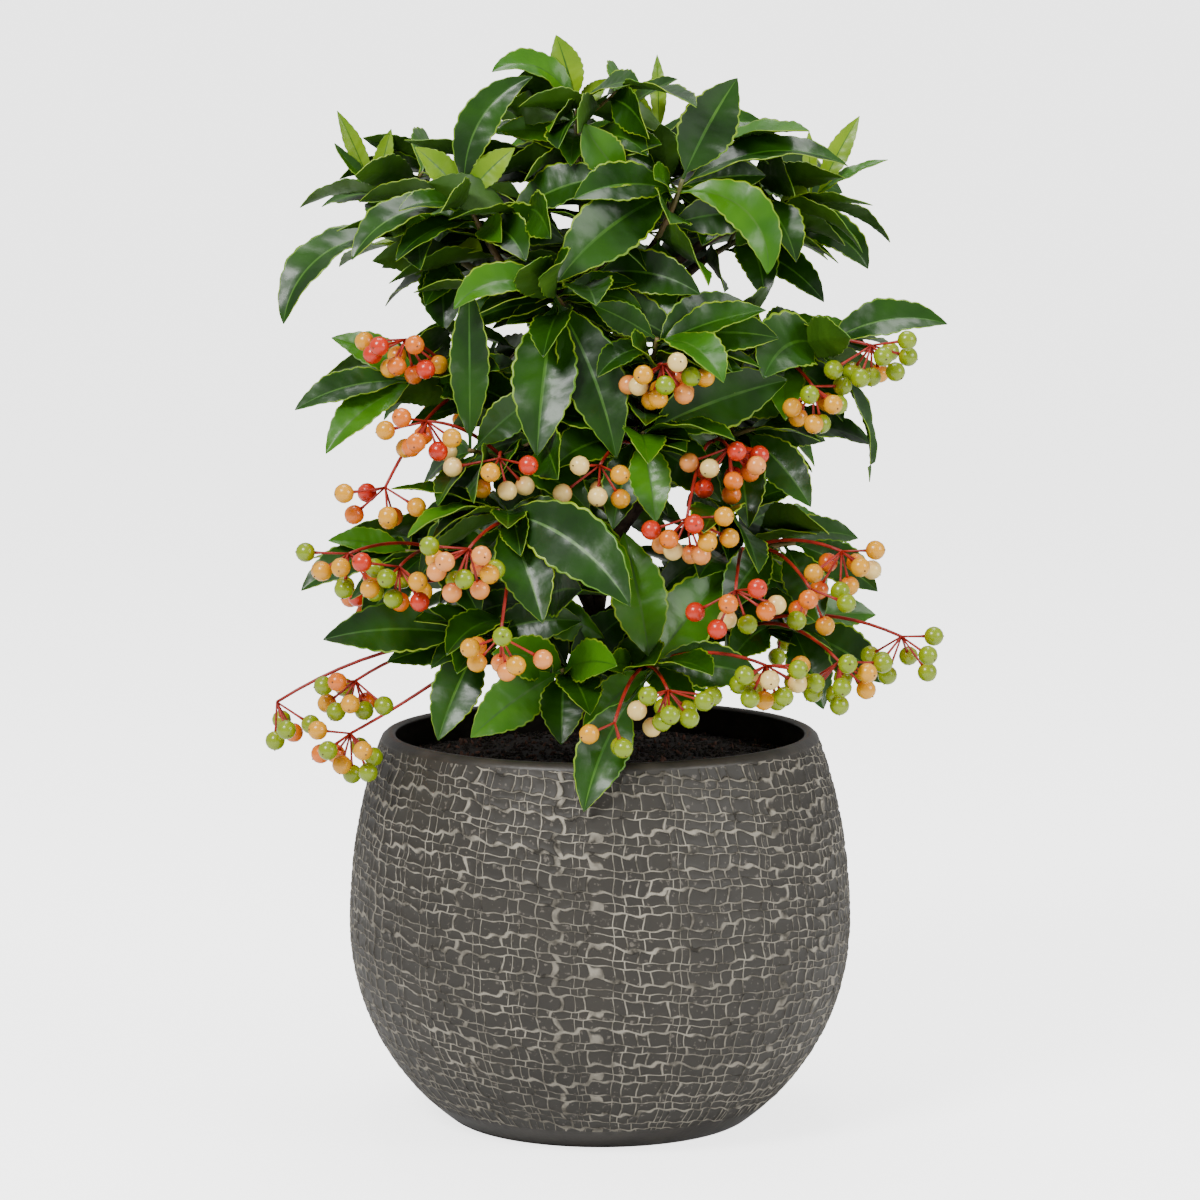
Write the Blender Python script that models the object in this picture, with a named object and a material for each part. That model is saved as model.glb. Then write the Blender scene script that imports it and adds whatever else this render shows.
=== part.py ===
"""Potted coral ardisia: an evergreen shrub with hanging trusses of berries, in a round glazed pot.

Metres, +Z up. The origin is the centre of the pot's flat underside, and -Y is the front.
Sizes in the tables are in millimetres and degrees. A heading is in plan: 0 is +X, 90 the back, 270 the front.
"""

import math
import random
from typing import NamedTuple

import bmesh
import bpy
from mathutils import Vector
from mathutils.bvhtree import BVHTree

MM = 0.001
GAP = 0.35 * MM
CLEARANCE = 0.5 * MM
GOLDEN_ANGLE = math.radians(137.5)
UP = Vector((0, 0, 1))

# The pot: a belly of two half ellipses above a narrow foot, with a rounded lip
POT_HEIGHT = 171 * MM
BELLY_RADIUS = 110 * MM
BELLY_HEIGHT = 86.8 * MM
LOWER_HALF = 107.5 * MM
UPPER_HALF = 166 * MM
POT_WALL = 5.5 * MM
FLOOR_THICKNESS = 8 * MM
LIP_ROUND = 2 * MM
POT_SIDES = 36
POT_RINGS = 6
SOIL_TOP = 158 * MM
SOIL_GAP = 0.5 * MM
SOIL_RINGS = 3

# The trunk, from its flat cut on the soil to its tip in the crown
TRUNK_PATH = [(0, 0, 158.35), (-4, 4, 210), (3, 5, 270), (-2, 2, 335), (-7, 1, 390)]
TRUNK_FOOT_RADIUS = 9 * MM
TRUNK_RADIUS = 6 * MM
TRUNK_TIP_RADIUS = 2.6 * MM
FLARE_HEIGHT = 14 * MM
TRUNK_SIDES = 7
TRUNK_RINGS = 8

BOUGH_SHARE = 0.62
CLEAR_OF_TRUNK = 0.14
FORK_SHIFTS = (0, 4, -4, 8, -8, 12, -12, 16, -16)
BOUGH_RADIUS = 3 * MM
BOUGH_TIP_RADIUS = 1.9 * MM
BOUGH_SIDES = 4
BOUGH_RINGS = 4
SHOOT_RADIUS = 1.1 * MM
TWIG_SIDES = 3

LEAF_STEP = 1.6
LEAF_THICKNESS = 0.012
LEAF_FOLD = 0.12
BEND_STATIONS = (0.3, 0.66)
PLAIN_STATIONS = (0.42,)
GENTLE_DROOP = 34
LEAF_STEPS = 24
STALK_RADIUS = 0.7 * MM
OUTER_LEAF = 0.22
LEAFY_SHARE = 0.36
ROOT_INSET = 0.6 * MM
NUDGES = [(turn, lift, size) for size in (1, 0.8) for lift in (0, 9, -9, 18) for turn in (0, 9, -9, 20, -20)]

TWIG_RADIUS = 0.9 * MM
TWIG_LENGTH = (20 * MM, 32 * MM)
TWIG_RISE = (15, 50)
TWIG_LEAVES = 2
TOP_LEAVES = 4

BERRY_RADIUS = 4.2 * MM
PEDICEL = (13 * MM, 20 * MM)
PEDICEL_RADIUS = 0.6 * MM
PEDUNCLE_RADIUS = 0.9 * MM
PEDUNCLE_START = 0.72
PEDUNCLE_STEP = 0.05
PEDUNCLE_ARCHES = (0.18, 0.3, 0.08, 0.42, -0.05, -0.15, 0.55)
TRUSS_SPREAD = math.radians(82)
BERRY_STEP = 5
KNOB_RADIUS = 1.5 * MM


class Leaf(NamedTuple):
    """One leaf: how it leaves its shoot, how it bends, and how far its upper side turns to the front."""

    heading: float
    rise: float
    length: float
    face: float = 0.5
    droop: float = 35
    width: float = 0.36
    down: float = 0
    stalk: float = 0.08
    toward: float = 270


class Branch(NamedTuple):
    """A side branch: where it leaves the trunk, where its shoot ends, and what it bears."""

    name: str
    fork: float
    tip: tuple
    twigs: int
    leaves: tuple = ()
    trusses: tuple = ()


BRANCHES = [
    Branch("crown_peak", 390, (-10, 0, 444), 2, (
        Leaf(180, 76, 31, 0.9, 6, 0.45),
        Leaf(202, 62, 50, 0.5, 90, 0.34),
        Leaf(20, 50, 20, 0.7, 10, 0.42),
        Leaf(265, 14, 38, 0.7, 72, 0.44, 10),
        Leaf(195, 20, 38, 0.6, 32, 0.34, 10),
        Leaf(188, 28, 44, 0.4, 24, 0.34, 22),
        Leaf(330, 12, 40, 0.6, 45, 0.4, 18),
        Leaf(178, 35, 48, -0.7, 15, 0.42, 44),
        Leaf(184, -6, 76, -0.3, -24, 0.28, 48),
    )),
    Branch("crown_front", 352, (35, -35, 412), 1, (
        Leaf(350, 67, 49, 1.0, 12, 0.5),
        Leaf(212, -16, 72, 0.85, 34, 0.38, 3),
        Leaf(4, 36, 76, 0.3, 62, 0.32),
        Leaf(338, 10, 62, 0.55, 108, 0.34, 1),
        Leaf(160, 20, 52, 0.95, -45, 0.34, 4, 0.45),
        Leaf(260, -58, 46, 0.97, 20, 0.48, 20),
    )),
    Branch("crown_back", 368, (26, 24, 430), 2, (
        Leaf(100, 84, 36, 0.5, 5, 0.2),
        Leaf(185, 62, 34, 0.6, 8, 0.24),
        Leaf(170, 46, 34, -0.6, 12, 0.4, 3),
        Leaf(10, 38, 54, 0.5, 50, 0.34, 4),
    )),
    Branch("upper_left", 338, (-58, -20, 406), 1, (
        Leaf(0, 94, 62, 0.7, 74, 0.28),
        Leaf(350, 52, 30, 0.7, 16, 0.42),
        Leaf(190, 52, 32, 0.6, 14, 0.42),
        Leaf(172, 24, 50, -0.4, 45, 0.32, 2),
        Leaf(206, 16, 64, 0.35, 76, 0.32, 2),
        Leaf(216, 2, 46, 0.3, 50, 0.34, 5),
        Leaf(300, 10, 44, 0.7, 60, 0.42, 7),
    )),
    Branch("far_left", 318, (-84, -6, 386), 1, (
        Leaf(206, 12, 76, 0.3, 94, 0.3),
        Leaf(184, 14, 28, 0.3, 20, 0.4, 12),
        Leaf(278, -52, 38, 0.95, 24, 0.55, 12),
        Leaf(240, -30, 34, 0.7, 24, 0.4, 20),
        Leaf(345, 14, 46, 0.5, 40, 0.4, 4),
    )),
    Branch("left_sprig", 346, (-100, 25, 406), 2, (
        Leaf(183, 69, 38, 0.6, 6, 0.22),
        Leaf(10, 78, 28, 0.6, 4, 0.3),
        Leaf(184, 20, 40, 0.3, -40, 0.22, 12, 0.35),
    )),
    Branch("right_sprig", 342, (95, 10, 404), 1, (
        Leaf(4, 66, 39, 0.7, 8, 0.26),
        Leaf(355, 38, 36, 0.3, 24, 0.24),
        Leaf(100, 85, 29, 0.6, 4, 0.22),
        Leaf(175, 50, 24, 0.6, 12, 0.32, 3),
        Leaf(300, 30, 26, 0.6, 30, 0.36, 12),
    )),
    Branch("right_upper", 326, (76, 30, 390), 2, (
        Leaf(350, 12, 50, 0.5, 75, 0.42),
        Leaf(340, -12, 50, 0.5, 40, 0.36, 18),
        Leaf(355, -4, 42, 0.4, 30, 0.36, 22),
        Leaf(285, 0, 46, 0.7, 80, 0.4, 10),
    )),
    Branch("right", 300, (96, -25, 341), 1, (
        Leaf(3, 33, 56, 0.5, 50, 0.36),
        Leaf(234, 20, 48, 0.75, 75, 0.6),
        Leaf(345, -38, 66, 0.0, 60, 0.28, 2),
        Leaf(5, 2, 56, -0.5, 22, 0.3, 24),
        Leaf(290, -20, 44, 0.8, 40, 0.4, 12),
    ), ((115, -42, 342, 10), (90, -48, 325, 11))),
    Branch("front_centre", 310, (-20, -50, 364), 1, (
        Leaf(323, -52, 76, 0.95, 25, 0.34),
        Leaf(255, -55, 72, 0.95, 22, 0.38, 2),
        Leaf(206, 34, 52, 0.5, 84, 0.36),
        Leaf(178, 14, 62, -0.2, 24, 0.28, 2, 0.3),
        Leaf(275, -74, 72, 0.9, 12, 0.34, 10),
        Leaf(20, 20, 46, 0.7, 60, 0.4, 3),
    )),
    Branch("front_right", 280, (24, -56, 346), 1, (
        Leaf(175, 34, 31, 0.8, 14, 0.44),
        Leaf(0, 15, 52, 0.7, 28, 0.36, 0, 0.2),
        Leaf(25, 44, 48, 0.7, 40, 0.4, 3),
        Leaf(60, 30, 44, 0.5, 40, 0.4, 8),
    ), ((26, -76, 336, 13),)),
    Branch("front_right_low", 266, (18, -58, 306), 1, (
        Leaf(8, 26, 66, 0.85, 14, 0.4),
        Leaf(290, -56, 40, 0.95, 18, 0.44),
        Leaf(240, -40, 44, 0.9, 24, 0.4, 4),
        Leaf(335, -22, 46, 0.8, 30, 0.4, 8),
    ), ((0, -76, 294, 6),)),
    Branch("left_shoot", 246, (-55, -60, 299), 1, (
        Leaf(95, 88, 70, 0.95, 4, 0.24),
        Leaf(348, 48, 42, 0.9, 20, 0.38),
        Leaf(202, 22, 70, 0.55, 60, 0.34),
        Leaf(310, -40, 44, 0.8, 20, 0.4, 6),
        Leaf(230, -30, 48, 0.7, 30, 0.36, 10),
    ), ((-72, -72, 312, 9), (-42, -78, 297, 6))),
    Branch("left_mid", 276, (-82, -28, 326), 2, (
        Leaf(195, 4, 52, 0.5, 36, 0.32),
        Leaf(208, -12, 54, 0.5, 45, 0.32, 3),
        Leaf(170, 40, 44, 0.6, 30, 0.36, 2),
        Leaf(290, 20, 42, 0.8, 70, 0.42, 8),
    ), ((-82, -50, 345, 10), (-90, -68, 284, 7))),
    Branch("front_left", 222, (-43, -74, 275), 1, (
        Leaf(326, -6, 78, 0.8, 48, 0.36),
        Leaf(300, -49, 56, 0.95, 24, 0.42, 2),
        Leaf(182, 24, 48, 0.15, 26, 0.32, 1),
        Leaf(204, -16, 42, -0.4, 20, 0.4, 5),
        Leaf(20, 30, 44, 0.8, 30, 0.4, 6),
    ), ((-54, -104, 262, 12), (-41, -106, 226, 8))),
    Branch("left_low", 218, (-84, -20, 252), 2, (
        Leaf(195, 0, 50, 0.5, 40, 0.36),
        Leaf(180, 18, 36, 0.5, 20, 0.38),
        Leaf(220, -28, 46, 0.8, 26, 0.4, 6),
        Leaf(300, -20, 44, 0.8, 26, 0.4, 10),
    ), ((-106, -58, 255, 9), (-84, -72, 251, 11))),
    Branch("right_mid", 246, (66, -32, 306), 2, (
        Leaf(4, 10, 56, 0.4, 40, 0.36),
        Leaf(325, -30, 46, 0.8, 26, 0.4, 3),
        Leaf(290, -44, 46, 0.9, 24, 0.42, 6),
        Leaf(225, -10, 44, 0.8, 40, 0.4, 8),
    ), ((54, -62, 300, 12), (36, -88, 273, 11))),
    Branch("right_low", 216, (84, -26, 256), 2, (
        Leaf(345, -16, 42, 0.7, 26, 0.42),
        Leaf(300, -36, 44, 0.85, 24, 0.42, 3),
        Leaf(235, -20, 46, 0.85, 30, 0.42, 6),
        Leaf(30, 20, 44, 0.5, 40, 0.4, 4),
    ), ((102, -58, 256, 9), (56, -98, 244, 8), (88, -74, 242, 6))),
    Branch("low_left", 186, (-55, -50, 219), 1, (
        Leaf(190, 12, 64, 0.7, 26, 0.35),
        Leaf(192, -6, 44, 0.7, 14, 0.38, 7),
        Leaf(225, -48, 50, 0.9, 20, 0.42, 4),
        Leaf(350, 24, 44, 0.8, 30, 0.42, 2),
    ), ((-138, -46, 190, 10), (-104, -52, 200, 9), (-106, -56, 178, 11))),
    Branch("low_front", 176, (-16, -56, 205), 1, (
        Leaf(205, -24, 50, 0.9, 16, 0.44),
        Leaf(268, -42, 36, 0.95, 24, 0.54),
        Leaf(220, 26, 42, 0.9, 24, 0.46, 3),
        Leaf(20, 48, 40, 0.9, 20, 0.44, 2),
        Leaf(150, 60, 44, 0.8, 20, 0.42, 5),
    )),
    Branch("low_right", 182, (24, -72, 208), 1, (
        Leaf(210, -30, 74, 0.95, 42, 0.3, 1, 0.3),
        Leaf(206, -30, 42, 0.9, 20, 0.42, 4),
        Leaf(120, 72, 60, 0.85, 10, 0.4, 3),
        Leaf(30, 46, 60, 0.85, 12, 0.44, 3),
        Leaf(350, 10, 50, 0.8, 30, 0.4, 6),
    ), ((69, -92, 212, 13), (28, -102, 203, 10), (6, -112, 191, 4))),
    Branch("side_right", 202, (84, -10, 218), 2, (
        Leaf(300, -45, 42, 0.9, 16, 0.46),
        Leaf(335, -16, 50, 0.7, 26, 0.42),
        Leaf(20, 16, 46, 0.6, 26, 0.4, 2),
        Leaf(245, 0, 44, 0.8, 30, 0.42, 5),
    ), ((128, -52, 219, 7), (100, -80, 212, 12))),
    Branch("back_left_mid", 284, (-58, 56, 326), 4, (), ((-70, 82, 318, 9),)),
    Branch("back_right_mid", 270, (62, 56, 318), 4, (), ((78, 80, 304, 9),)),
    Branch("back_mid", 306, (2, 66, 366), 4, (), ((14, 92, 348, 9),)),
    Branch("back_low_left", 208, (-58, 58, 230), 4, (), ((-84, 84, 214, 9), (-96, 30, 228, 8))),
    Branch("back_low_right", 196, (60, 60, 226), 4, (), ((84, 86, 210, 9),)),
    Branch("back_low", 236, (2, 72, 270), 4, (), ((-16, 100, 252, 9),)),
]


def metres(point):
    return Vector(point) * MM


def smooth_point(points, share):
    """A point at a share of the way along a smooth line through the points (Catmull-Rom)."""
    place = share * (len(points) - 1)
    index = min(int(place), len(points) - 2)
    t = place - index
    before = points[max(index - 1, 0)]
    start, end = points[index], points[index + 1]
    after = points[min(index + 2, len(points) - 1)]
    return (
        start * 2
        + (end - before) * t
        + (before * 2 - start * 5 + end * 4 - after) * t**2
        + (start * 3 - before - end * 3 + after) * t**3
    ) / 2


def bezier_point(curve, t):
    start, middle, end = curve
    return start * (1 - t) ** 2 + middle * 2 * t * (1 - t) + end * t**2


def across(direction):
    """Two unit vectors square to a direction, and to each other."""
    guide = Vector((1, 0, 0)) if abs(direction.normalized().x) < 0.8 else Vector((0, 1, 0))
    side = direction.cross(guide).normalized()
    return side, side.cross(direction).normalized()


def lofted(rings):
    """A closed surface over rings of equal count. A first or last ring may be one point."""
    points, faces, starts = [], [], []
    for ring in rings:
        starts.append(len(points))
        points += ring
    for i, (low, high) in enumerate(zip(rings, rings[1:])):
        a, b = starts[i], starts[i + 1]
        count = max(len(low), len(high))
        for j in range(count):
            k = (j + 1) % count
            if len(low) == 1:
                faces.append((a, b + k, b + j))
            elif len(high) == 1:
                faces.append((a + j, a + k, b))
            else:
                faces.append((a + j, a + k, b + k, b + j))
    if len(rings[0]) > 1:
        faces.append(tuple(reversed(range(len(rings[0])))))
    if len(rings[-1]) > 1:
        faces.append(tuple(range(starts[-1], starts[-1] + len(rings[-1]))))
    return points, faces


def tube(path, radii, sides):
    """A tapering limb along a path of points. Its ends are flat and square to it."""
    rings = []
    side = None
    for i, point in enumerate(path):
        along = (path[min(i + 1, len(path) - 1)] - path[max(i - 1, 0)]).normalized()
        side = across(along)[0] if side is None else (side - along * side.dot(along)).normalized()
        other = along.cross(side)
        turns = [2 * math.pi * n / sides for n in range(sides)]
        rings.append([point + (side * math.cos(a) + other * math.sin(a)) * radii[i] for a in turns])
    return lofted(rings)


def tapered(curve, start, end, radius, tip_radius, count, sides):
    """A tube along the stretch of a curve between two shares of it."""
    shares = [start + (end - start) * i / (count - 1) for i in range(count)]
    path = [bezier_point(curve, t) for t in shares]
    radii = [radius + (tip_radius - radius) * i / (count - 1) for i in range(count)]
    return tube(path, radii, sides)


def material(name, colour, roughness):
    made = bpy.data.materials.new(name)
    made.use_nodes = True
    shader = made.node_tree.nodes["Principled BSDF"]
    shader.inputs["Base Color"].default_value = (*colour, 1)
    shader.inputs["Roughness"].default_value = roughness
    return made


def object_of(name, shape, surface, collection=None):
    points, faces = shape
    mesh = bpy.data.meshes.new(name)
    mesh.from_pydata(points, [], faces)
    cut_into_triangles(mesh)
    mesh.materials.append(surface)
    made = bpy.data.objects.new(name, mesh)
    (collection or bpy.context.scene.collection).objects.link(made)
    return made


def cut_into_triangles(mesh):
    """Flat faces only, because a leaf's four-sided faces are bent."""
    made = bmesh.new()
    made.from_mesh(mesh)
    bmesh.ops.triangulate(made, faces=made.faces)
    made.to_mesh(mesh)
    made.free()


def apply_boolean(target, operation, cutter=None, collection=None):
    """Joins or cuts with a Boolean, applies it, and removes what it used."""
    modifier = target.modifiers.new(operation.title(), "BOOLEAN")
    modifier.operation = operation
    modifier.solver = "MANIFOLD"
    used = [cutter]
    if collection:
        modifier.operand_type = "COLLECTION"
        modifier.collection = collection
        used = list(collection.objects)
    else:
        modifier.object = cutter
    graph = bpy.context.evaluated_depsgraph_get()
    made = bpy.data.meshes.new_from_object(target.evaluated_get(graph))
    target.modifiers.clear()
    target.data = made
    cut_into_triangles(made)
    for helper in used:
        bpy.data.objects.remove(helper)
    if collection:
        bpy.data.collections.remove(collection)


# The pot and its soil


def outer_radius(height):
    half = LOWER_HALF if height < BELLY_HEIGHT else UPPER_HALF
    return BELLY_RADIUS * math.sqrt(1 - ((height - BELLY_HEIGHT) / half) ** 2)


def turned(profile, sides):
    """A solid of revolution from (radius, height) pairs that run up the outer side. Radius 0 closes it."""
    rings = []
    for radius, height in profile:
        turns = [2 * math.pi * n / sides for n in range(sides if radius > 0 else 1)]
        rings.append([Vector((radius * math.cos(a), radius * math.sin(a), height)) for a in turns])
    return lofted(rings)


def pot_profile():
    rim = outer_radius(POT_HEIGHT)
    top = POT_HEIGHT - LIP_ROUND
    outside = [top * (i / POT_RINGS) ** 1.3 for i in range(POT_RINGS + 1)]
    inside = [top - (top - FLOOR_THICKNESS) * i / SOIL_RINGS for i in range(SOIL_RINGS + 1)]
    profile = [(0, 0)]
    profile += [(outer_radius(z), z) for z in outside]
    profile += [(rim - LIP_ROUND * 0.6, POT_HEIGHT), (rim - POT_WALL + LIP_ROUND * 0.6, POT_HEIGHT)]
    profile += [(outer_radius(z) - POT_WALL, z) for z in inside]
    profile.append((0, FLOOR_THICKNESS))
    return profile


def soil_profile():
    """The soil fills the pot to just below its lip, a hair clear of the wall's straight facets."""
    top = POT_HEIGHT - LIP_ROUND
    inside = [FLOOR_THICKNESS + (top - FLOOR_THICKNESS) * i / SOIL_RINGS for i in range(SOIL_RINGS)]
    clear = POT_WALL + SOIL_GAP
    profile = [(0, FLOOR_THICKNESS + GAP)]
    profile += [(outer_radius(z) - clear, max(z, FLOOR_THICKNESS + GAP)) for z in inside]
    share = (SOIL_TOP - inside[-1]) / (top - inside[-1])
    last = outer_radius(inside[-1]) + (outer_radius(top) - outer_radius(inside[-1])) * share
    profile += [(last - clear, SOIL_TOP), (0, SOIL_TOP)]
    return profile


# What holds each place in the crown


class Claim(NamedTuple):
    """A solid that has its place in the crown, and the branch that it belongs to."""

    owner: str
    kind: str
    tree: BVHTree
    low: Vector
    high: Vector


class Space:
    """Keeps the masses apart: it knows every solid so far, and tells if a new one is clear of them."""

    def __init__(self):
        self.claims = []

    def claim(self, owner, kind, shape):
        low, high = corners(shape[0])
        self.claims.append(Claim(owner, kind, BVHTree.FromPolygons(*shape), low, high))

    def meets(self, shape, counts):
        """True if the shape meets a claim for which counts(claim) is true."""
        low, high = corners(shape[0])
        tree = None
        for claim in self.claims:
            apart = any(low[i] > claim.high[i] or high[i] < claim.low[i] for i in range(3))
            if apart or not counts(claim):
                continue
            tree = tree or BVHTree.FromPolygons(*shape)
            if tree.overlap(claim.tree):
                return True
        return False

    def has_room(self, owner, whole, outer, own_kinds):
        """The whole piece keeps off other branches, and its outer part off the owner's named kinds."""
        if self.meets(whole, lambda c: c.owner != owner and c.kind != "outer leaf"):
            return False
        return not self.meets(outer, lambda c: c.owner == owner and c.kind in own_kinds)


def corners(points):
    low = Vector([min(p[i] for p in points) for i in range(3)])
    high = Vector([max(p[i] for p in points) for i in range(3)])
    return low, high


# Leaves


def half_width(leaf, t):
    """A pointed ellipse that is widest a little below its middle, on a stalk."""
    blade = max(t - leaf.stalk, 0) / (1 - leaf.stalk)
    return max(leaf.length * MM * leaf.width / 2 * math.sin(math.pi * blade**0.92) ** 0.9, STALK_RADIUS)


def leaf_frames(root, leaf, stations):
    """The midrib's point, the side, the upper normal and the half width at each station of a leaf."""
    heading, toward = math.radians(leaf.heading), math.radians(leaf.toward)
    level = Vector((math.cos(heading), math.sin(heading), 0))
    front = Vector((math.cos(toward), math.sin(toward), 0))
    wanted = UP * (1 - abs(leaf.face)) + front * leaf.face
    frames = []
    point = root.copy()
    done = 0
    for i in range(LEAF_STEPS + 1):
        t = i / LEAF_STEPS
        angle = math.radians(leaf.rise - leaf.droop * t**1.2)
        along = level * math.cos(angle) + UP * math.sin(angle)
        if i:
            point = point + along * (leaf.length * MM / LEAF_STEPS)
        while done < len(stations) and stations[done] <= t + 0.5 / LEAF_STEPS:
            side = along.cross(wanted).normalized()
            frames.append((point.copy(), side, side.cross(along), half_width(leaf, t)))
            done += 1
    return frames


def leaf_solid(root, leaf, fatten=0.0, start=0.0):
    """A thin closed blade with a keel under its midrib, from its root or from a share of its length."""
    stations = BEND_STATIONS if abs(leaf.droop) > GENTLE_DROOP else PLAIN_STATIONS
    stations = [leaf.stalk + (1 - leaf.stalk) * t for t in stations]
    frames = leaf_frames(root, leaf, (start, *stations, 1.0))
    thick = leaf.length * MM * LEAF_THICKNESS + fatten
    rings = []
    rings.append([frames[0][0]])
    for point, side, normal, half in frames[1:-1]:
        wide = side * (half + fatten)
        lift = normal * (half * LEAF_FOLD + fatten)
        rings.append([point + wide + lift, point - normal * thick, point - wide + lift])
    tip = frames[-1][0]
    rings.append([tip + (tip - frames[-2][0]).normalized() * fatten])
    return lofted(rings)


def place_leaf(space, owner, root, leaf):
    """The leaf, turned a little where it must be to find its own place, or None."""
    for turn, lift, size in NUDGES:
        tried = leaf._replace(heading=leaf.heading + turn, rise=leaf.rise + lift, length=leaf.length * size)
        whole = leaf_solid(root, tried, fatten=CLEARANCE)
        outer = leaf_solid(root, tried, fatten=CLEARANCE, start=OUTER_LEAF)
        if space.has_room(owner, whole, outer, ("twig", "stalk", "berry", "outer leaf")):
            solid = leaf_solid(root, tried)
            space.claim(owner, "leaf", solid)
            space.claim(owner, "outer leaf", leaf_solid(root, tried, start=OUTER_LEAF))
            return solid
    return None


# Berries


def ball(centre, radius):
    made = bmesh.new()
    bmesh.ops.create_icosphere(made, subdivisions=1, radius=radius)
    points = [v.co + centre for v in made.verts]
    faces = [tuple(v.index for v in f.verts) for f in made.faces]
    made.free()
    return points, faces


def knob(centre, radius):
    ring = [centre + Vector(way) * radius for way in ((1, 0, 0), (0, 1, 0), (-1, 0, 0), (0, -1, 0))]
    return lofted([[centre - UP * radius], ring, [centre + UP * radius]])


def berry_centres(umbel, count, luck):
    """Where a truss's berries hang: a golden spiral over a cap that faces down and outwards."""
    outward = Vector((umbel.x, umbel.y, 0)).normalized()
    axis = (outward * 0.35 - UP).normalized()
    side, other = across(axis)
    turn = luck.uniform(0, 2 * math.pi)
    centres = []
    for i in range(count):
        tilt = TRUSS_SPREAD * math.sqrt((i + 0.5) / count)
        spin = turn + i * GOLDEN_ANGLE
        way = axis * math.cos(tilt) + (side * math.cos(spin) + other * math.sin(spin)) * math.sin(tilt)
        centres.append(umbel + way * luck.uniform(*PEDICEL))
    return centres


def place_peduncle(space, owner, start, umbel):
    """A thin limb from the shoot to where the berries' stalks meet, arched as far as it must be."""
    for arch in PEDUNCLE_ARCHES:
        curve = start, (start + umbel) / 2 + UP * ((umbel - start).length * arch), umbel
        radius = PEDUNCLE_RADIUS + CLEARANCE
        whole = tapered(curve, 0, 1, radius, radius, 5, TWIG_SIDES)
        outer = tapered(curve, 0.25, 1, radius, radius, 5, TWIG_SIDES)
        if space.has_room(owner, whole, outer, ("stalk", "berry")):
            solid = tapered(curve, 0, 1, PEDUNCLE_RADIUS, PEDUNCLE_RADIUS, 5, TWIG_SIDES)
            space.claim(owner, "stalk", solid)
            return solid
    return None


def grow_truss(space, owner, start, truss):
    """A truss's peduncle, and the stalks that fan from its end to the berries. All keep their places."""
    umbel = metres(truss[:3])
    luck = random.Random(f"{owner}{truss}")
    peduncle = place_peduncle(space, owner, start, umbel)
    if not peduncle:
        return []
    solids = [peduncle, knob(umbel, KNOB_RADIUS)]
    kept = 0
    for centre in berry_centres(umbel, truss[3], luck):
        berry = ball(centre, BERRY_RADIUS)
        fat_berry = ball(centre, BERRY_RADIUS + CLEARANCE)
        if not space.has_room(owner, fat_berry, fat_berry, ("twig", "stalk", "berry", "outer leaf")):
            continue
        fat_stalk = tube([umbel, centre], [PEDICEL_RADIUS + CLEARANCE] * 2, TWIG_SIDES)
        if not space.has_room(owner, fat_stalk, fat_stalk, ("berry",)):
            continue
        stalk = tube([umbel, centre], [PEDICEL_RADIUS] * 2, TWIG_SIDES)
        space.claim(owner, "stalk", tube([umbel.lerp(centre, 0.4), centre], [PEDICEL_RADIUS] * 2, TWIG_SIDES))
        space.claim(owner, "berry", berry)
        if kept % BERRY_STEP == 0:
            solids += [stalk, berry]
        kept += 1
    return solids


# Branches


def trunk_point(height):
    """Where the trunk's middle line passes a height."""
    points = [metres(p) for p in TRUNK_PATH]
    low, high = 0.0, 1.0
    for _ in range(30):
        share = (low + high) / 2
        low, high = (share, high) if smooth_point(points, share).z < height else (low, share)
    return smooth_point(points, low)


def branch_curve(branch, fork):
    """Steep branches go out and then up, and the others rise and then arch over."""
    start, tip = trunk_point(fork * MM), metres(branch.tip)
    level = (tip - start) * Vector((1, 1, 0))
    climb = tip.z - start.z
    out, up = (0.7, 0.3) if climb > level.length else (0.45, 0.75)
    middle = start + level * out + UP * (climb * up + 4 * MM)
    return start, middle, tip


def trunk_solid(fatten=0.0):
    points = [metres(p) for p in TRUNK_PATH]
    path = [smooth_point(points, (i / (TRUNK_RINGS - 1)) ** 1.4) for i in range(TRUNK_RINGS)]
    foot, top = path[0].z, path[-1].z
    radii = []
    for point in path:
        share = (point.z - foot) / (top - foot)
        flare = (TRUNK_FOOT_RADIUS - TRUNK_RADIUS) * math.exp(-(point.z - foot) / FLARE_HEIGHT * 2)
        radii.append(TRUNK_RADIUS + (TRUNK_TIP_RADIUS - TRUNK_RADIUS) * share + flare + fatten)
    for point in path[:2]:
        point.x = point.y = 0
    return tube(path, radii, TRUNK_SIDES)


def bough_solid(curve, fatten=0.0, start=0.0):
    radius, tip_radius = BOUGH_RADIUS + fatten, BOUGH_TIP_RADIUS + fatten
    return tapered(curve, start, BOUGH_SHARE, radius, tip_radius, BOUGH_RINGS, BOUGH_SIDES)


def shoot_solid(curve, on_trunk, fatten=0.0):
    """The mass's own stem. It meets the bough's tip, or the trunk's, with the gap that keeps them apart."""
    gap = GAP / (curve[2] - curve[0]).length
    start = gap if on_trunk else BOUGH_SHARE + gap
    radius = TRUNK_TIP_RADIUS if on_trunk else BOUGH_TIP_RADIUS
    return tapered(curve, start, 1, radius + fatten, SHOOT_RADIUS + fatten, 4, TWIG_SIDES)


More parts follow.
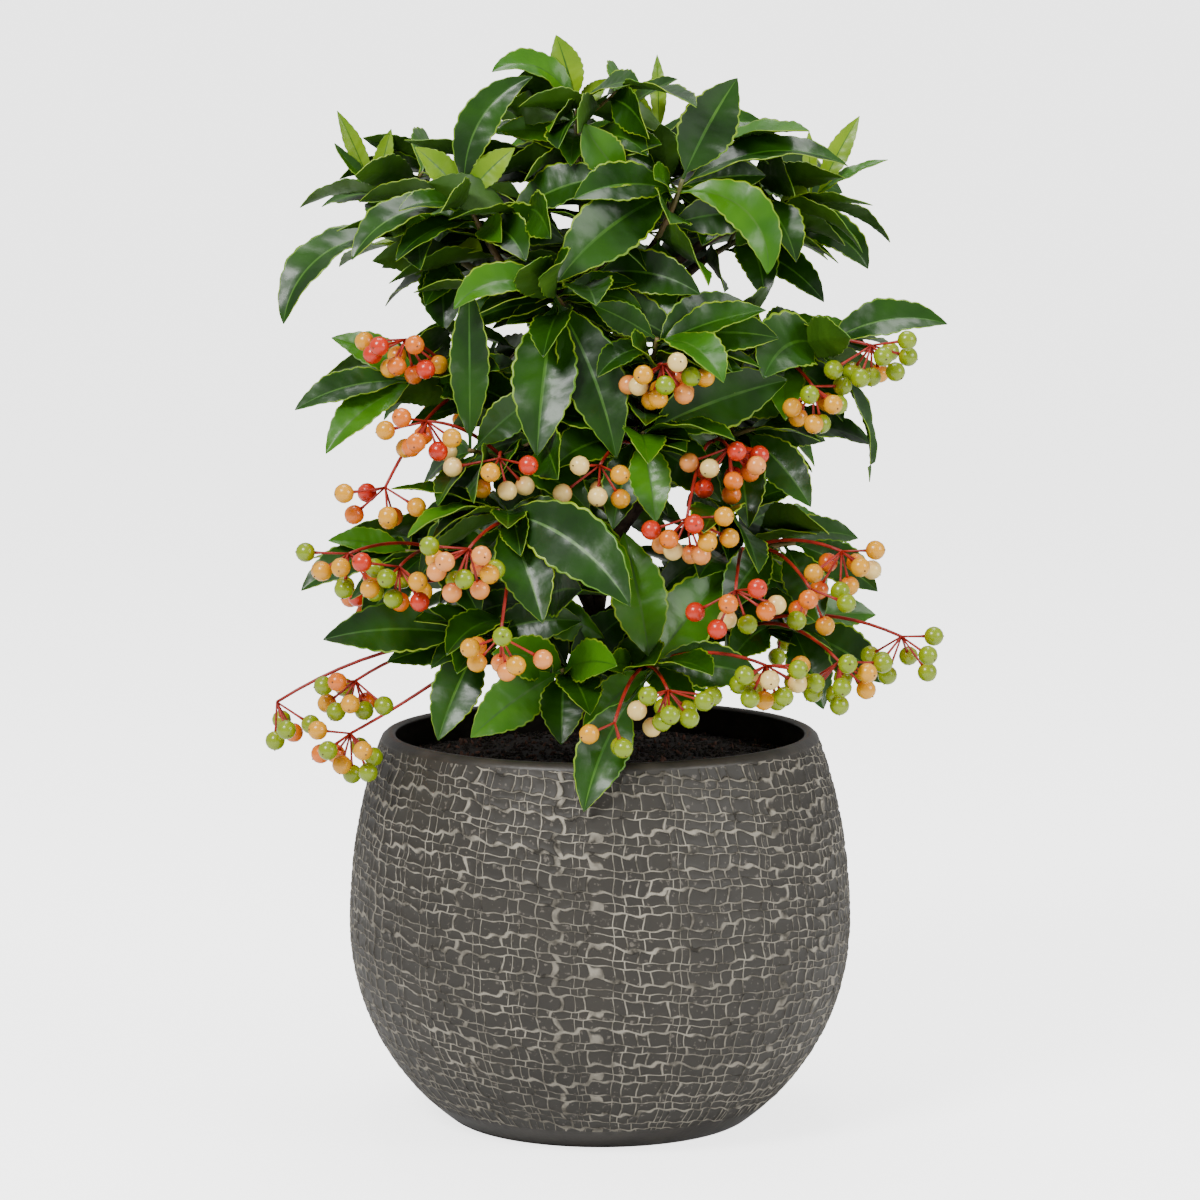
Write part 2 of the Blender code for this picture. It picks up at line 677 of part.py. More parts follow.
def lay_branch(space, branch, on_trunk):
    """Finds a fork height at which the bough and the shoot are clear of all the others."""
    for shift in FORK_SHIFTS:
        curve = branch_curve(branch, branch.fork + shift)
        stem = shoot_solid(curve, on_trunk, CLEARANCE)
        if space.meets(stem, lambda c: c.owner != "trunk" or not on_trunk):
            continue
        if on_trunk:
            return curve
        outer = bough_solid(curve, CLEARANCE, CLEAR_OF_TRUNK)
        inner_too = bough_solid(curve, CLEARANCE)
        if space.meets(outer, lambda c: c.owner != "trunk" and c.kind != "outer limb"):
            continue
        if not space.meets(inner_too, lambda c: c.kind in ("outer limb", "twig")):
            return curve
    return None


def leaf_root(curve, down):
    """The point on a shoot a distance below its tip."""
    length = (curve[2] - curve[1]).length * 2
    return bezier_point(curve, 1 - min((down * MM + ROOT_INSET) / length, LEAFY_SHARE))


def grow_twig(space, owner, curve, share, heading, luck):
    """A side twig of the rule, with a whorl of leaves at its end."""
    start = bezier_point(curve, share)
    length = luck.uniform(*TWIG_LENGTH)
    rise = math.radians(luck.uniform(*TWIG_RISE))
    level = Vector((math.cos(heading), math.sin(heading), 0))
    end = start + (level * math.cos(rise) + UP * math.sin(rise)) * length
    bend = start.lerp(end, 0.5) - UP * length * 0.08
    twig_curve = start, bend, end
    fat = TWIG_RADIUS + CLEARANCE
    whole = tapered(twig_curve, 0, 1, fat, fat, 3, TWIG_SIDES)
    outer = tapered(twig_curve, 0.2, 1, fat, fat, 3, TWIG_SIDES)
    if not space.has_room(owner, whole, outer, ("twig", "stalk", "berry", "outer leaf")):
        return []
    solids = [tapered(twig_curve, 0, 1, TWIG_RADIUS, TWIG_RADIUS * 0.8, 3, TWIG_SIDES)]
    space.claim(owner, "twig", tapered(twig_curve, 0.2, 1, TWIG_RADIUS, TWIG_RADIUS * 0.8, 3, TWIG_SIDES))
    for i in range(TWIG_LEAVES):
        leaf = rule_leaf(heading, i, luck)
        solid = place_leaf(space, owner, twig_curve[1].lerp(end, 0.97 - 0.12 * i), leaf)
        if solid:
            solids.append(solid)
    return solids


def rule_leaf(heading, index, luck):
    """A leaf of the rule: each turns a golden angle from the last, and those that point inwards are short."""
    turned_heading = heading + GOLDEN_ANGLE * index + luck.uniform(-0.2, 0.2)
    outward = math.cos(turned_heading - heading)
    return Leaf(
        heading=math.degrees(turned_heading),
        rise=luck.uniform(5, 35) - 12 * outward,
        length=luck.uniform(44, 64) * (1 if outward > -0.2 else 0.8),
        face=luck.uniform(0.4, 0.75),
        droop=luck.uniform(15, 60),
        width=luck.uniform(0.36, 0.44),
        toward=math.degrees(heading),
    )


def fuse(name, solids, surface):
    """Joins a mass's twigs, leaves and berries in one union."""
    collection = bpy.data.collections.new(name + "_pieces")
    bpy.context.scene.collection.children.link(collection)
    for i, solid in enumerate(solids[1:]):
        object_of(f"{name}_piece_{i}", solid, surface, collection)
    mass = object_of(name, solids[0], surface)
    apply_boolean(mass, "UNION", collection=collection)
    return mass


def main():
    for old in list(bpy.data.objects):
        bpy.data.objects.remove(old)
    glaze = material("glazed clay", (0.1, 0.083, 0.066), 0.5)
    earth = material("potting soil", (0.03, 0.02, 0.014), 0.95)
    bark = material("bark", (0.12, 0.075, 0.045), 0.8)
    green = material("leaves and berries", (0.04, 0.17, 0.03), 0.35)

    space = Space()
    for name, profile, surface in (("pot", pot_profile(), glaze), ("soil", soil_profile(), earth)):
        solid = turned(profile, POT_SIDES)
        object_of(name, solid, surface)
        space.claim(name, "pot", solid)
    trunk = trunk_solid()
    object_of("trunk", trunk, bark)
    space.claim("trunk", "limb", trunk)

    curves = {}
    masses = {}
    for branch in BRANCHES:
        on_trunk = branch is BRANCHES[0]
        curve = lay_branch(space, branch, on_trunk)
        if not curve:
            print("no way out for", branch.name)
            continue
        curves[branch.name] = curve
        if not on_trunk:
            bough = object_of(branch.name + "_bough", bough_solid(curve), bark)
            cutter = object_of("trunk_clearance", trunk_solid(fatten=CLEARANCE), bark)
            apply_boolean(bough, "DIFFERENCE", cutter=cutter)
            keep_largest(bough)
            space.claim(branch.name + "_bough", "limb", bough_solid(curve))
            space.claim(branch.name + "_bough", "outer limb", bough_solid(curve, start=CLEAR_OF_TRUNK))
        stem = shoot_solid(curve, on_trunk)
        space.claim(branch.name, "twig", stem)
        masses[branch.name] = [stem]

    for branch in BRANCHES:
        for i, truss in enumerate(branch.trusses):
            start = bezier_point(curves[branch.name], PEDUNCLE_START + PEDUNCLE_STEP * i)
            grown = grow_truss(space, branch.name, start, truss)
            masses[branch.name] += grown
            if not grown:
                print("no way for a truss", branch.name, truss)
    for branch in BRANCHES:
        for i, leaf in enumerate(branch.leaves):
            root = leaf_root(curves[branch.name], leaf.down + i * LEAF_STEP)
            solid = place_leaf(space, branch.name, root, leaf)
            if solid:
                masses[branch.name].append(solid)
            else:
                print("no place for", branch.name, leaf)
    for branch in BRANCHES:
        luck = random.Random(branch.name)
        outward = math.atan2(branch.tip[1], branch.tip[0])
        if not branch.leaves:
            for i in range(TOP_LEAVES):
                leaf = rule_leaf(outward, i, luck)
                solid = place_leaf(space, branch.name, leaf_root(curves[branch.name], i * 2 * LEAF_STEP), leaf)
                if solid:
                    masses[branch.name].append(solid)
        for i in range(branch.twigs):
            share = 0.95 - 0.26 * (i + 0.5) / branch.twigs
            heading = outward + GOLDEN_ANGLE * (i + 1)
            masses[branch.name] += grow_twig(space, branch.name, curves[branch.name], share, heading, luck)
    for branch in BRANCHES:
        fuse(branch.name, masses[branch.name], green)
    print("pieces", sum(len(m) for m in masses.values()))


def keep_largest(target):
    """Drops the scraps that a cut leaves on the far side of the trunk."""
    made = bmesh.new()
    made.from_mesh(target.data)
    left = set(made.verts)
    islands = []
    while left:
        island = set()
        edge = [left.pop()]
        while edge:
            vertex = edge.pop()
            island.add(vertex)
            for link in vertex.link_edges:
                other = link.other_vert(vertex)
                if other in left:
                    left.remove(other)
                    edge.append(other)
        islands.append(island)
    islands.sort(key=len)
    bmesh.ops.delete(made, geom=[v for island in islands[:-1] for v in island], context="VERTS")
    made.to_mesh(target.data)
    made.free()


main()
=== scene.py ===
"""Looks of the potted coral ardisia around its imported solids: glazed pot, soil, bark, leaves and berries.

Metres, +Z up. The shoots, leaves and trusses grow by the same rule as the solids, and are then carried
on to finer leaves and to every berry. A heading is in plan: 0 is +X, 90 the back, 270 the front.
"""

import math
import random
from typing import NamedTuple

import bmesh
import bpy
import numpy as np
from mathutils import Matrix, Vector
from mathutils.bvhtree import BVHTree

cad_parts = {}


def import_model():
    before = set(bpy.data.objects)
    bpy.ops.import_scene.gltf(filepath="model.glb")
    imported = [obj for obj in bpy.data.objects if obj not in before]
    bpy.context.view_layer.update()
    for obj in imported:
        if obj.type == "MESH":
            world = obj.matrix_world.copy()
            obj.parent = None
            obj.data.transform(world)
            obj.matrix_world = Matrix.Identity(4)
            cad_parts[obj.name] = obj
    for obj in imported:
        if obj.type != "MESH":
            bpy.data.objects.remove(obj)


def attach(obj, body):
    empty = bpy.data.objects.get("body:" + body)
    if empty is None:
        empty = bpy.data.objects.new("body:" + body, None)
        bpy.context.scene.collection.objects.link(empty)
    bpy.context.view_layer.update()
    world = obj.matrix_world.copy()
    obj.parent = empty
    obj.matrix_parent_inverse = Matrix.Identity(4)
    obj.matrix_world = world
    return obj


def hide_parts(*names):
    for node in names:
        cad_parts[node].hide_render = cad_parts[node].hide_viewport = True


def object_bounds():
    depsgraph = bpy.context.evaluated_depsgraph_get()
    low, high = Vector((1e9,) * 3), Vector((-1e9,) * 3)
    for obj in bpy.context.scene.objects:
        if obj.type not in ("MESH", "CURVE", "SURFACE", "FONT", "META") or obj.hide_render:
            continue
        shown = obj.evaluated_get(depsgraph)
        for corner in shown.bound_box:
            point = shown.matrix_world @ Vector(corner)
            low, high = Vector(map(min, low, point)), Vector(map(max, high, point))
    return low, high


MM = 0.001
GAP = 0.35 * MM
CLEARANCE = 0.5 * MM
GOLDEN_ANGLE = math.radians(137.5)
UP = Vector((0, 0, 1))

# The pot: a belly of two half ellipses above a narrow foot, with a rounded lip
POT_HEIGHT = 171 * MM
BELLY_RADIUS = 110 * MM
BELLY_HEIGHT = 86.8 * MM
LOWER_HALF = 107.5 * MM
UPPER_HALF = 166 * MM
POT_WALL = 5.5 * MM
FLOOR_THICKNESS = 8 * MM
LIP_ROUND = 2 * MM
LIP_INSET = 0.6
POT_SIDES = 36
POT_RINGS = 6
RING_CROWDING = 1.3
SOIL_TOP = 158 * MM
SOIL_GAP = 0.5 * MM
SOIL_RINGS = 3

# The trunk, from its flat cut on the soil to its tip in the crown
TRUNK_PATH = [(0, 0, 158.35), (-4, 4, 210), (3, 5, 270), (-2, 2, 335), (-7, 1, 390)]
TRUNK_FOOT_RADIUS = 9 * MM
TRUNK_RADIUS = 6 * MM
TRUNK_TIP_RADIUS = 2.6 * MM
FLARE_HEIGHT = 14 * MM
TRUNK_SIDES = 7
TRUNK_RINGS = 8
TRUNK_HALVINGS = 30
FOOT_CROWDING = 1.4

# The boughs and shoots: how far out and up their middle lies on steep and on arched ones
STEEP_WAY = (0.7, 0.3)
ARCHED_WAY = (0.45, 0.75)
BEND_LIFT = 4 * MM
BOUGH_SHARE = 0.62
CLEAR_OF_TRUNK = 0.14
FORK_SHIFTS = (0, 4, -4, 8, -8, 12, -12, 16, -16)
BOUGH_RADIUS = 3 * MM
BOUGH_TIP_RADIUS = 1.9 * MM
BOUGH_SIDES = 4
BOUGH_RINGS = 4
SHOOT_RADIUS = 1.1 * MM
SHOOT_RINGS = 4
TWIG_SIDES = 3

# Leaves, in millimetres, degrees and shares of their length
LEAF_STEP = 1.6
BLADE_SKEW = 0.92
BLADE_FULLNESS = 0.9
BEND_POWER = 1.2
LEAF_THICKNESS = 0.012
LEAF_FOLD = 0.12
BEND_STATIONS = (0.3, 0.66)
PLAIN_STATIONS = (0.42,)
GENTLE_DROOP = 34
LEAF_STEPS = 24
STALK_RADIUS = 0.7 * MM
OUTER_LEAF = 0.22
LEAFY_SHARE = 0.36
ROOT_INSET = 0.6 * MM
NUDGE_TURNS = (0, 9, -9, 20, -20)
NUDGE_LIFTS = (0, 9, -9, 18)
NUDGE_SIZES = (1, 0.8)
NUDGES = [(turn, lift, size) for size in NUDGE_SIZES for lift in NUDGE_LIFTS for turn in NUDGE_TURNS]
RULE_TURN = (-0.2, 0.2)
RULE_RISE = (5, 35)
RULE_RISE_OUTWARD = 12
RULE_LENGTH = (44, 64)
RULE_INWARD = -0.2
RULE_INWARD_SIZE = 0.8
RULE_FACE = (0.4, 0.75)
RULE_DROOP = (15, 60)
RULE_WIDTH = (0.36, 0.44)

# Side twigs
TWIG_TOP = 0.95
TWIG_STRETCH = 0.26
TWIG_SAG = 0.08
TWIG_INNER = 0.2
TWIG_RINGS = 3
TWIG_TIP_SHARE = 0.8
TWIG_LEAF_PLACE = 0.97
TWIG_LEAF_STEP = 0.12
TWIG_RADIUS = 0.9 * MM
TWIG_LENGTH = (20 * MM, 32 * MM)
TWIG_RISE = (15, 50)
TWIG_LEAVES = 2
TOP_LEAVES = 4

# Trusses of berries
BERRY_RADIUS = 4.2 * MM
PEDICEL = (13 * MM, 20 * MM)
PEDICEL_RADIUS = 0.6 * MM
PEDUNCLE_RADIUS = 0.9 * MM
PEDUNCLE_START = 0.72
PEDUNCLE_STEP = 0.05
PEDUNCLE_INNER = 0.25
PEDUNCLE_RINGS = 5
PEDUNCLE_ARCHES = (0.18, 0.3, 0.08, 0.42, -0.05, -0.15, 0.55)
TRUSS_SPREAD = math.radians(82)
TRUSS_LEAN = 0.35
PEDICEL_INNER = 0.4

# What a new leaf, berry or twig keeps clear of on its own branch
OWN_KINDS = ("twig", "stalk", "berry", "outer leaf")


class Leaf(NamedTuple):
    """One leaf: how it leaves its shoot, how it bends, and how far its upper side turns to the front."""

    heading: float
    rise: float
    length: float
    face: float = 0.5
    droop: float = 35
    width: float = 0.36
    down: float = 0
    stalk: float = 0.08
    toward: float = 270


class Grown(NamedTuple):
    """A leaf, twig, peduncle or berry that has its place: what it is, its branch, its root and its shape."""

    kind: str
    owner: str
    root: Vector
    shape: object


class Branch(NamedTuple):
    """A side branch: where it leaves the trunk, where its shoot ends, and what it bears."""

    name: str
    fork: float
    tip: tuple
    twigs: int
    leaves: tuple = ()
    trusses: tuple = ()


# In millimetres: the height of the fork and the tip's place. A truss is the place where its berries'
# stalks meet, and how many berries it has
BRANCHES = [
    Branch("crown_peak", 390, (-10, 0, 444), 2, (
        Leaf(180, 76, 31, 0.9, 6, 0.45),
        Leaf(202, 62, 50, 0.5, 90, 0.34),
        Leaf(20, 50, 20, 0.7, 10, 0.42),
        Leaf(265, 14, 38, 0.7, 72, 0.44, 10),
        Leaf(195, 20, 38, 0.6, 32, 0.34, 10),
        Leaf(188, 28, 44, 0.4, 24, 0.34, 22),
        Leaf(330, 12, 40, 0.6, 45, 0.4, 18),
        Leaf(178, 35, 48, -0.7, 15, 0.42, 44),
        Leaf(184, -6, 76, -0.3, -24, 0.28, 48),
    )),
    Branch("crown_front", 352, (35, -35, 412), 1, (
        Leaf(350, 67, 49, 1.0, 12, 0.5),
        Leaf(212, -16, 72, 0.85, 34, 0.38, 3),
        Leaf(4, 36, 76, 0.3, 62, 0.32),
        Leaf(338, 10, 62, 0.55, 108, 0.34, 1),
        Leaf(160, 20, 52, 0.95, -45, 0.34, 4, 0.45),
        Leaf(260, -58, 46, 0.97, 20, 0.48, 20),
    )),
    Branch("crown_back", 368, (26, 24, 430), 2, (
        Leaf(100, 84, 36, 0.5, 5, 0.2),
        Leaf(185, 62, 34, 0.6, 8, 0.24),
        Leaf(170, 46, 34, -0.6, 12, 0.4, 3),
        Leaf(10, 38, 54, 0.5, 50, 0.34, 4),
    )),
    Branch("upper_left", 338, (-58, -20, 406), 1, (
        Leaf(0, 94, 62, 0.7, 74, 0.28),
        Leaf(350, 52, 30, 0.7, 16, 0.42),
        Leaf(190, 52, 32, 0.6, 14, 0.42),
        Leaf(172, 24, 50, -0.4, 45, 0.32, 2),
        Leaf(206, 16, 64, 0.35, 76, 0.32, 2),
        Leaf(216, 2, 46, 0.3, 50, 0.34, 5),
        Leaf(300, 10, 44, 0.7, 60, 0.42, 7),
    )),
    Branch("far_left", 318, (-84, -6, 386), 1, (
        Leaf(206, 12, 76, 0.3, 94, 0.3),
        Leaf(184, 14, 28, 0.3, 20, 0.4, 12),
        Leaf(278, -52, 38, 0.95, 24, 0.55, 12),
        Leaf(240, -30, 34, 0.7, 24, 0.4, 20),
        Leaf(345, 14, 46, 0.5, 40, 0.4, 4),
    )),
    Branch("left_sprig", 346, (-100, 25, 406), 2, (
        Leaf(183, 69, 38, 0.6, 6, 0.22),
        Leaf(10, 78, 28, 0.6, 4, 0.3),
        Leaf(184, 20, 40, 0.3, -40, 0.22, 12, 0.35),
    )),
    Branch("right_sprig", 342, (95, 10, 404), 1, (
        Leaf(4, 66, 39, 0.7, 8, 0.26),
        Leaf(355, 38, 36, 0.3, 24, 0.24),
        Leaf(100, 85, 29, 0.6, 4, 0.22),
        Leaf(175, 50, 24, 0.6, 12, 0.32, 3),
        Leaf(300, 30, 26, 0.6, 30, 0.36, 12),
    )),
    Branch("right_upper", 326, (76, 30, 390), 2, (
        Leaf(350, 12, 50, 0.5, 75, 0.42),
        Leaf(340, -12, 50, 0.5, 40, 0.36, 18),
        Leaf(355, -4, 42, 0.4, 30, 0.36, 22),
        Leaf(285, 0, 46, 0.7, 80, 0.4, 10),
    )),
    Branch("right", 300, (96, -25, 341), 1, (
        Leaf(3, 33, 56, 0.5, 50, 0.36),
        Leaf(234, 20, 48, 0.75, 75, 0.6),
        Leaf(345, -38, 66, 0.0, 60, 0.28, 2),
        Leaf(5, 2, 56, -0.5, 22, 0.3, 24),
        Leaf(290, -20, 44, 0.8, 40, 0.4, 12),
    ), ((115, -42, 342, 10), (90, -48, 325, 11))),
    Branch("front_centre", 310, (-20, -50, 364), 1, (
        Leaf(323, -52, 76, 0.95, 25, 0.34),
        Leaf(255, -55, 72, 0.95, 22, 0.38, 2),
        Leaf(206, 34, 52, 0.5, 84, 0.36),
        Leaf(178, 14, 62, -0.2, 24, 0.28, 2, 0.3),
        Leaf(275, -74, 72, 0.9, 12, 0.34, 10),
        Leaf(20, 20, 46, 0.7, 60, 0.4, 3),
    )),
    Branch("front_right", 280, (24, -56, 346), 1, (
        Leaf(175, 34, 31, 0.8, 14, 0.44),
        Leaf(0, 15, 52, 0.7, 28, 0.36, 0, 0.2),
        Leaf(25, 44, 48, 0.7, 40, 0.4, 3),
        Leaf(60, 30, 44, 0.5, 40, 0.4, 8),
    ), ((26, -76, 336, 13),)),
    Branch("front_right_low", 266, (18, -58, 306), 1, (
        Leaf(8, 26, 66, 0.85, 14, 0.4),
        Leaf(290, -56, 40, 0.95, 18, 0.44),
        Leaf(240, -40, 44, 0.9, 24, 0.4, 4),
        Leaf(335, -22, 46, 0.8, 30, 0.4, 8),
    ), ((0, -76, 294, 6),)),
    Branch("left_shoot", 246, (-55, -60, 299), 1, (
        Leaf(95, 88, 70, 0.95, 4, 0.24),
        Leaf(348, 48, 42, 0.9, 20, 0.38),
        Leaf(202, 22, 70, 0.55, 60, 0.34),
        Leaf(310, -40, 44, 0.8, 20, 0.4, 6),
        Leaf(230, -30, 48, 0.7, 30, 0.36, 10),
    ), ((-72, -72, 312, 9), (-42, -78, 297, 6))),
    Branch("left_mid", 276, (-82, -28, 326), 2, (
        Leaf(195, 4, 52, 0.5, 36, 0.32),
        Leaf(208, -12, 54, 0.5, 45, 0.32, 3),
        Leaf(170, 40, 44, 0.6, 30, 0.36, 2),
        Leaf(290, 20, 42, 0.8, 70, 0.42, 8),
    ), ((-82, -50, 345, 10), (-90, -68, 284, 7))),
    Branch("front_left", 222, (-43, -74, 275), 1, (
        Leaf(326, -6, 78, 0.8, 48, 0.36),
        Leaf(300, -49, 56, 0.95, 24, 0.42, 2),
        Leaf(182, 24, 48, 0.15, 26, 0.32, 1),
        Leaf(204, -16, 42, -0.4, 20, 0.4, 5),
        Leaf(20, 30, 44, 0.8, 30, 0.4, 6),
    ), ((-54, -104, 262, 12), (-41, -106, 226, 8))),
    Branch("left_low", 218, (-84, -20, 252), 2, (
        Leaf(195, 0, 50, 0.5, 40, 0.36),
        Leaf(180, 18, 36, 0.5, 20, 0.38),
        Leaf(220, -28, 46, 0.8, 26, 0.4, 6),
        Leaf(300, -20, 44, 0.8, 26, 0.4, 10),
    ), ((-106, -58, 255, 9), (-84, -72, 251, 11))),
    Branch("right_mid", 246, (66, -32, 306), 2, (
        Leaf(4, 10, 56, 0.4, 40, 0.36),
        Leaf(325, -30, 46, 0.8, 26, 0.4, 3),
        Leaf(290, -44, 46, 0.9, 24, 0.42, 6),
        Leaf(225, -10, 44, 0.8, 40, 0.4, 8),
    ), ((54, -62, 300, 12), (36, -88, 273, 11))),
    Branch("right_low", 216, (84, -26, 256), 2, (
        Leaf(345, -16, 42, 0.7, 26, 0.42),
        Leaf(300, -36, 44, 0.85, 24, 0.42, 3),
        Leaf(235, -20, 46, 0.85, 30, 0.42, 6),
        Leaf(30, 20, 44, 0.5, 40, 0.4, 4),
    ), ((102, -58, 256, 9), (56, -98, 244, 8), (88, -74, 242, 6))),
    Branch("low_left", 186, (-55, -50, 219), 1, (
        Leaf(190, 12, 64, 0.7, 26, 0.35),
        Leaf(192, -6, 44, 0.7, 14, 0.38, 7),
        Leaf(225, -48, 50, 0.9, 20, 0.42, 4),
        Leaf(350, 24, 44, 0.8, 30, 0.42, 2),
    ), ((-138, -46, 190, 10), (-104, -52, 200, 9), (-106, -56, 178, 11))),
    Branch("low_front", 176, (-16, -56, 205), 1, (
        Leaf(205, -24, 50, 0.9, 16, 0.44),
        Leaf(268, -42, 36, 0.95, 24, 0.54),
        Leaf(220, 26, 42, 0.9, 24, 0.46, 3),
        Leaf(20, 48, 40, 0.9, 20, 0.44, 2),
        Leaf(150, 60, 44, 0.8, 20, 0.42, 5),
    )),
    Branch("low_right", 182, (24, -72, 208), 1, (
        Leaf(210, -30, 74, 0.95, 42, 0.3, 1, 0.3),
        Leaf(206, -30, 42, 0.9, 20, 0.42, 4),
        Leaf(120, 72, 60, 0.85, 10, 0.4, 3),
        Leaf(30, 46, 60, 0.85, 12, 0.44, 3),
        Leaf(350, 10, 50, 0.8, 30, 0.4, 6),
    ), ((69, -92, 212, 13), (28, -102, 203, 10), (6, -112, 191, 4))),
    Branch("side_right", 202, (84, -10, 218), 2, (
        Leaf(300, -45, 42, 0.9, 16, 0.46),
        Leaf(335, -16, 50, 0.7, 26, 0.42),
        Leaf(20, 16, 46, 0.6, 26, 0.4, 2),
        Leaf(245, 0, 44, 0.8, 30, 0.42, 5),
    ), ((128, -52, 219, 7), (100, -80, 212, 12))),
    Branch("back_left_mid", 284, (-58, 56, 326), 4, (), ((-70, 82, 318, 9),)),
    Branch("back_right_mid", 270, (62, 56, 318), 4, (), ((78, 80, 304, 9),)),
    Branch("back_mid", 306, (2, 66, 366), 4, (), ((14, 92, 348, 9),)),
    Branch("back_low_left", 208, (-58, 58, 230), 4, (), ((-84, 84, 214, 9), (-96, 30, 228, 8))),
    Branch("back_low_right", 196, (60, 60, 226), 4, (), ((84, 86, 210, 9),)),
    Branch("back_low", 236, (2, 72, 270), 4, (), ((-16, 100, 252, 9),)),
]


def metres(point):
    return Vector(point) * MM


def smooth_point(points, share):
    """A point at a share of the way along a smooth line through the points (Catmull-Rom)."""
    place = share * (len(points) - 1)
    index = min(int(place), len(points) - 2)
    t = place - index
    before = points[max(index - 1, 0)]
    start, end = points[index], points[index + 1]
    after = points[min(index + 2, len(points) - 1)]
    return (
        start * 2
        + (end - before) * t
        + (before * 2 - start * 5 + end * 4 - after) * t**2
        + (start * 3 - before - end * 3 + after) * t**3
    ) / 2


def bezier_point(curve, t):
    start, middle, end = curve
    return start * (1 - t) ** 2 + middle * 2 * t * (1 - t) + end * t**2


def full_turn(count):
    """The angles of evenly spaced points around a circle."""
    return [2 * math.pi * n / count for n in range(count)]


def level_way(heading):
    return Vector((math.cos(heading), math.sin(heading), 0))


def spun(side, other, angle):
    """The way at an angle from one of two square ways towards the other."""
    return side * math.cos(angle) + other * math.sin(angle)


def across(direction):
    """Two unit vectors square to a direction, and to each other."""
    guide = Vector((1, 0, 0)) if abs(direction.normalized().x) < 0.8 else Vector((0, 1, 0))
    side = direction.cross(guide).normalized()
    return side, side.cross(direction).normalized()


def lofted(rings):
    """A closed surface over rings of equal count. A first or last ring may be one point."""
    points, faces, starts = [], [], []
    for ring in rings:
        starts.append(len(points))
        points += ring
    for i, (low, high) in enumerate(zip(rings, rings[1:])):
        a, b = starts[i], starts[i + 1]
        count = max(len(low), len(high))
        for j in range(count):
            k = (j + 1) % count
            if len(low) == 1:
                faces.append((a, b + k, b + j))
            elif len(high) == 1:
                faces.append((a + j, a + k, b))
            else:
                faces.append((a + j, a + k, b + k, b + j))
    if len(rings[0]) > 1:
        faces.append(tuple(reversed(range(len(rings[0])))))
    if len(rings[-1]) > 1:
        faces.append(tuple(range(starts[-1], starts[-1] + len(rings[-1]))))
    return points, faces


def tube(path, radii, sides):
    """A tapering limb along a path of points. Its ends are flat and square to it."""
    rings = []
    side = None
    for i, point in enumerate(path):
        along = (path[min(i + 1, len(path) - 1)] - path[max(i - 1, 0)]).normalized()
        side = across(along)[0] if side is None else (side - along * side.dot(along)).normalized()
        other = along.cross(side)
        rings.append([point + spun(side, other, a) * radii[i] for a in full_turn(sides)])
    return lofted(rings)


def steps(start, end, count):
    """Evenly spaced numbers from the start to the end."""
    return [start + (end - start) * i / (count - 1) for i in range(count)]


def stretch(curve, start, end, count):
    """Points along the stretch of a curve between two shares of it."""
    return [bezier_point(curve, t) for t in steps(start, end, count)]


def tapered(curve, start, end, radius, tip_radius, count, sides):
    """A tube along the stretch of a curve between two shares of it."""
    return tube(stretch(curve, start, end, count), steps(radius, tip_radius, count), sides)


# The pot and its soil, as the crown keeps off them


def outer_radius(height):
    half = LOWER_HALF if height < BELLY_HEIGHT else UPPER_HALF
    return BELLY_RADIUS * math.sqrt(1 - ((height - BELLY_HEIGHT) / half) ** 2)


def turned(profile, sides):
    """A solid of revolution from (radius, height) pairs that run up the outer side. Radius 0 closes it."""
    rings = []
    for radius, height in profile:
        angles = full_turn(sides if radius > 0 else 1)
        rings.append([Vector((radius * math.cos(a), radius * math.sin(a), height)) for a in angles])
    return lofted(rings)


def pot_profile():
    rim = outer_radius(POT_HEIGHT)
    top = POT_HEIGHT - LIP_ROUND
    inset = LIP_ROUND * LIP_INSET
    outside = [top * (i / POT_RINGS) ** RING_CROWDING for i in range(POT_RINGS + 1)]
    inside = [top - (top - FLOOR_THICKNESS) * i / SOIL_RINGS for i in range(SOIL_RINGS + 1)]
    profile = [(0, 0)]
    profile += [(outer_radius(z), z) for z in outside]
    profile += [(rim - inset, POT_HEIGHT), (rim - POT_WALL + inset, POT_HEIGHT)]
    profile += [(outer_radius(z) - POT_WALL, z) for z in inside]
    profile.append((0, FLOOR_THICKNESS))
    return profile


def soil_profile():
    """The soil fills the pot to just below its lip, a hair clear of the wall's straight facets."""
    top = POT_HEIGHT - LIP_ROUND
    inside = [FLOOR_THICKNESS + (top - FLOOR_THICKNESS) * i / SOIL_RINGS for i in range(SOIL_RINGS)]
    clear = POT_WALL + SOIL_GAP
    profile = [(0, FLOOR_THICKNESS + GAP)]
    profile += [(outer_radius(z) - clear, max(z, FLOOR_THICKNESS + GAP)) for z in inside]
    share = (SOIL_TOP - inside[-1]) / (top - inside[-1])
    last = outer_radius(inside[-1]) + (outer_radius(top) - outer_radius(inside[-1])) * share
    profile += [(last - clear, SOIL_TOP), (0, SOIL_TOP)]
    return profile


# What holds each place in the crown


class Claim(NamedTuple):
    """A solid that has its place in the crown, and the branch that it belongs to."""

    owner: str
    kind: str
    tree: BVHTree
    low: Vector
    high: Vector


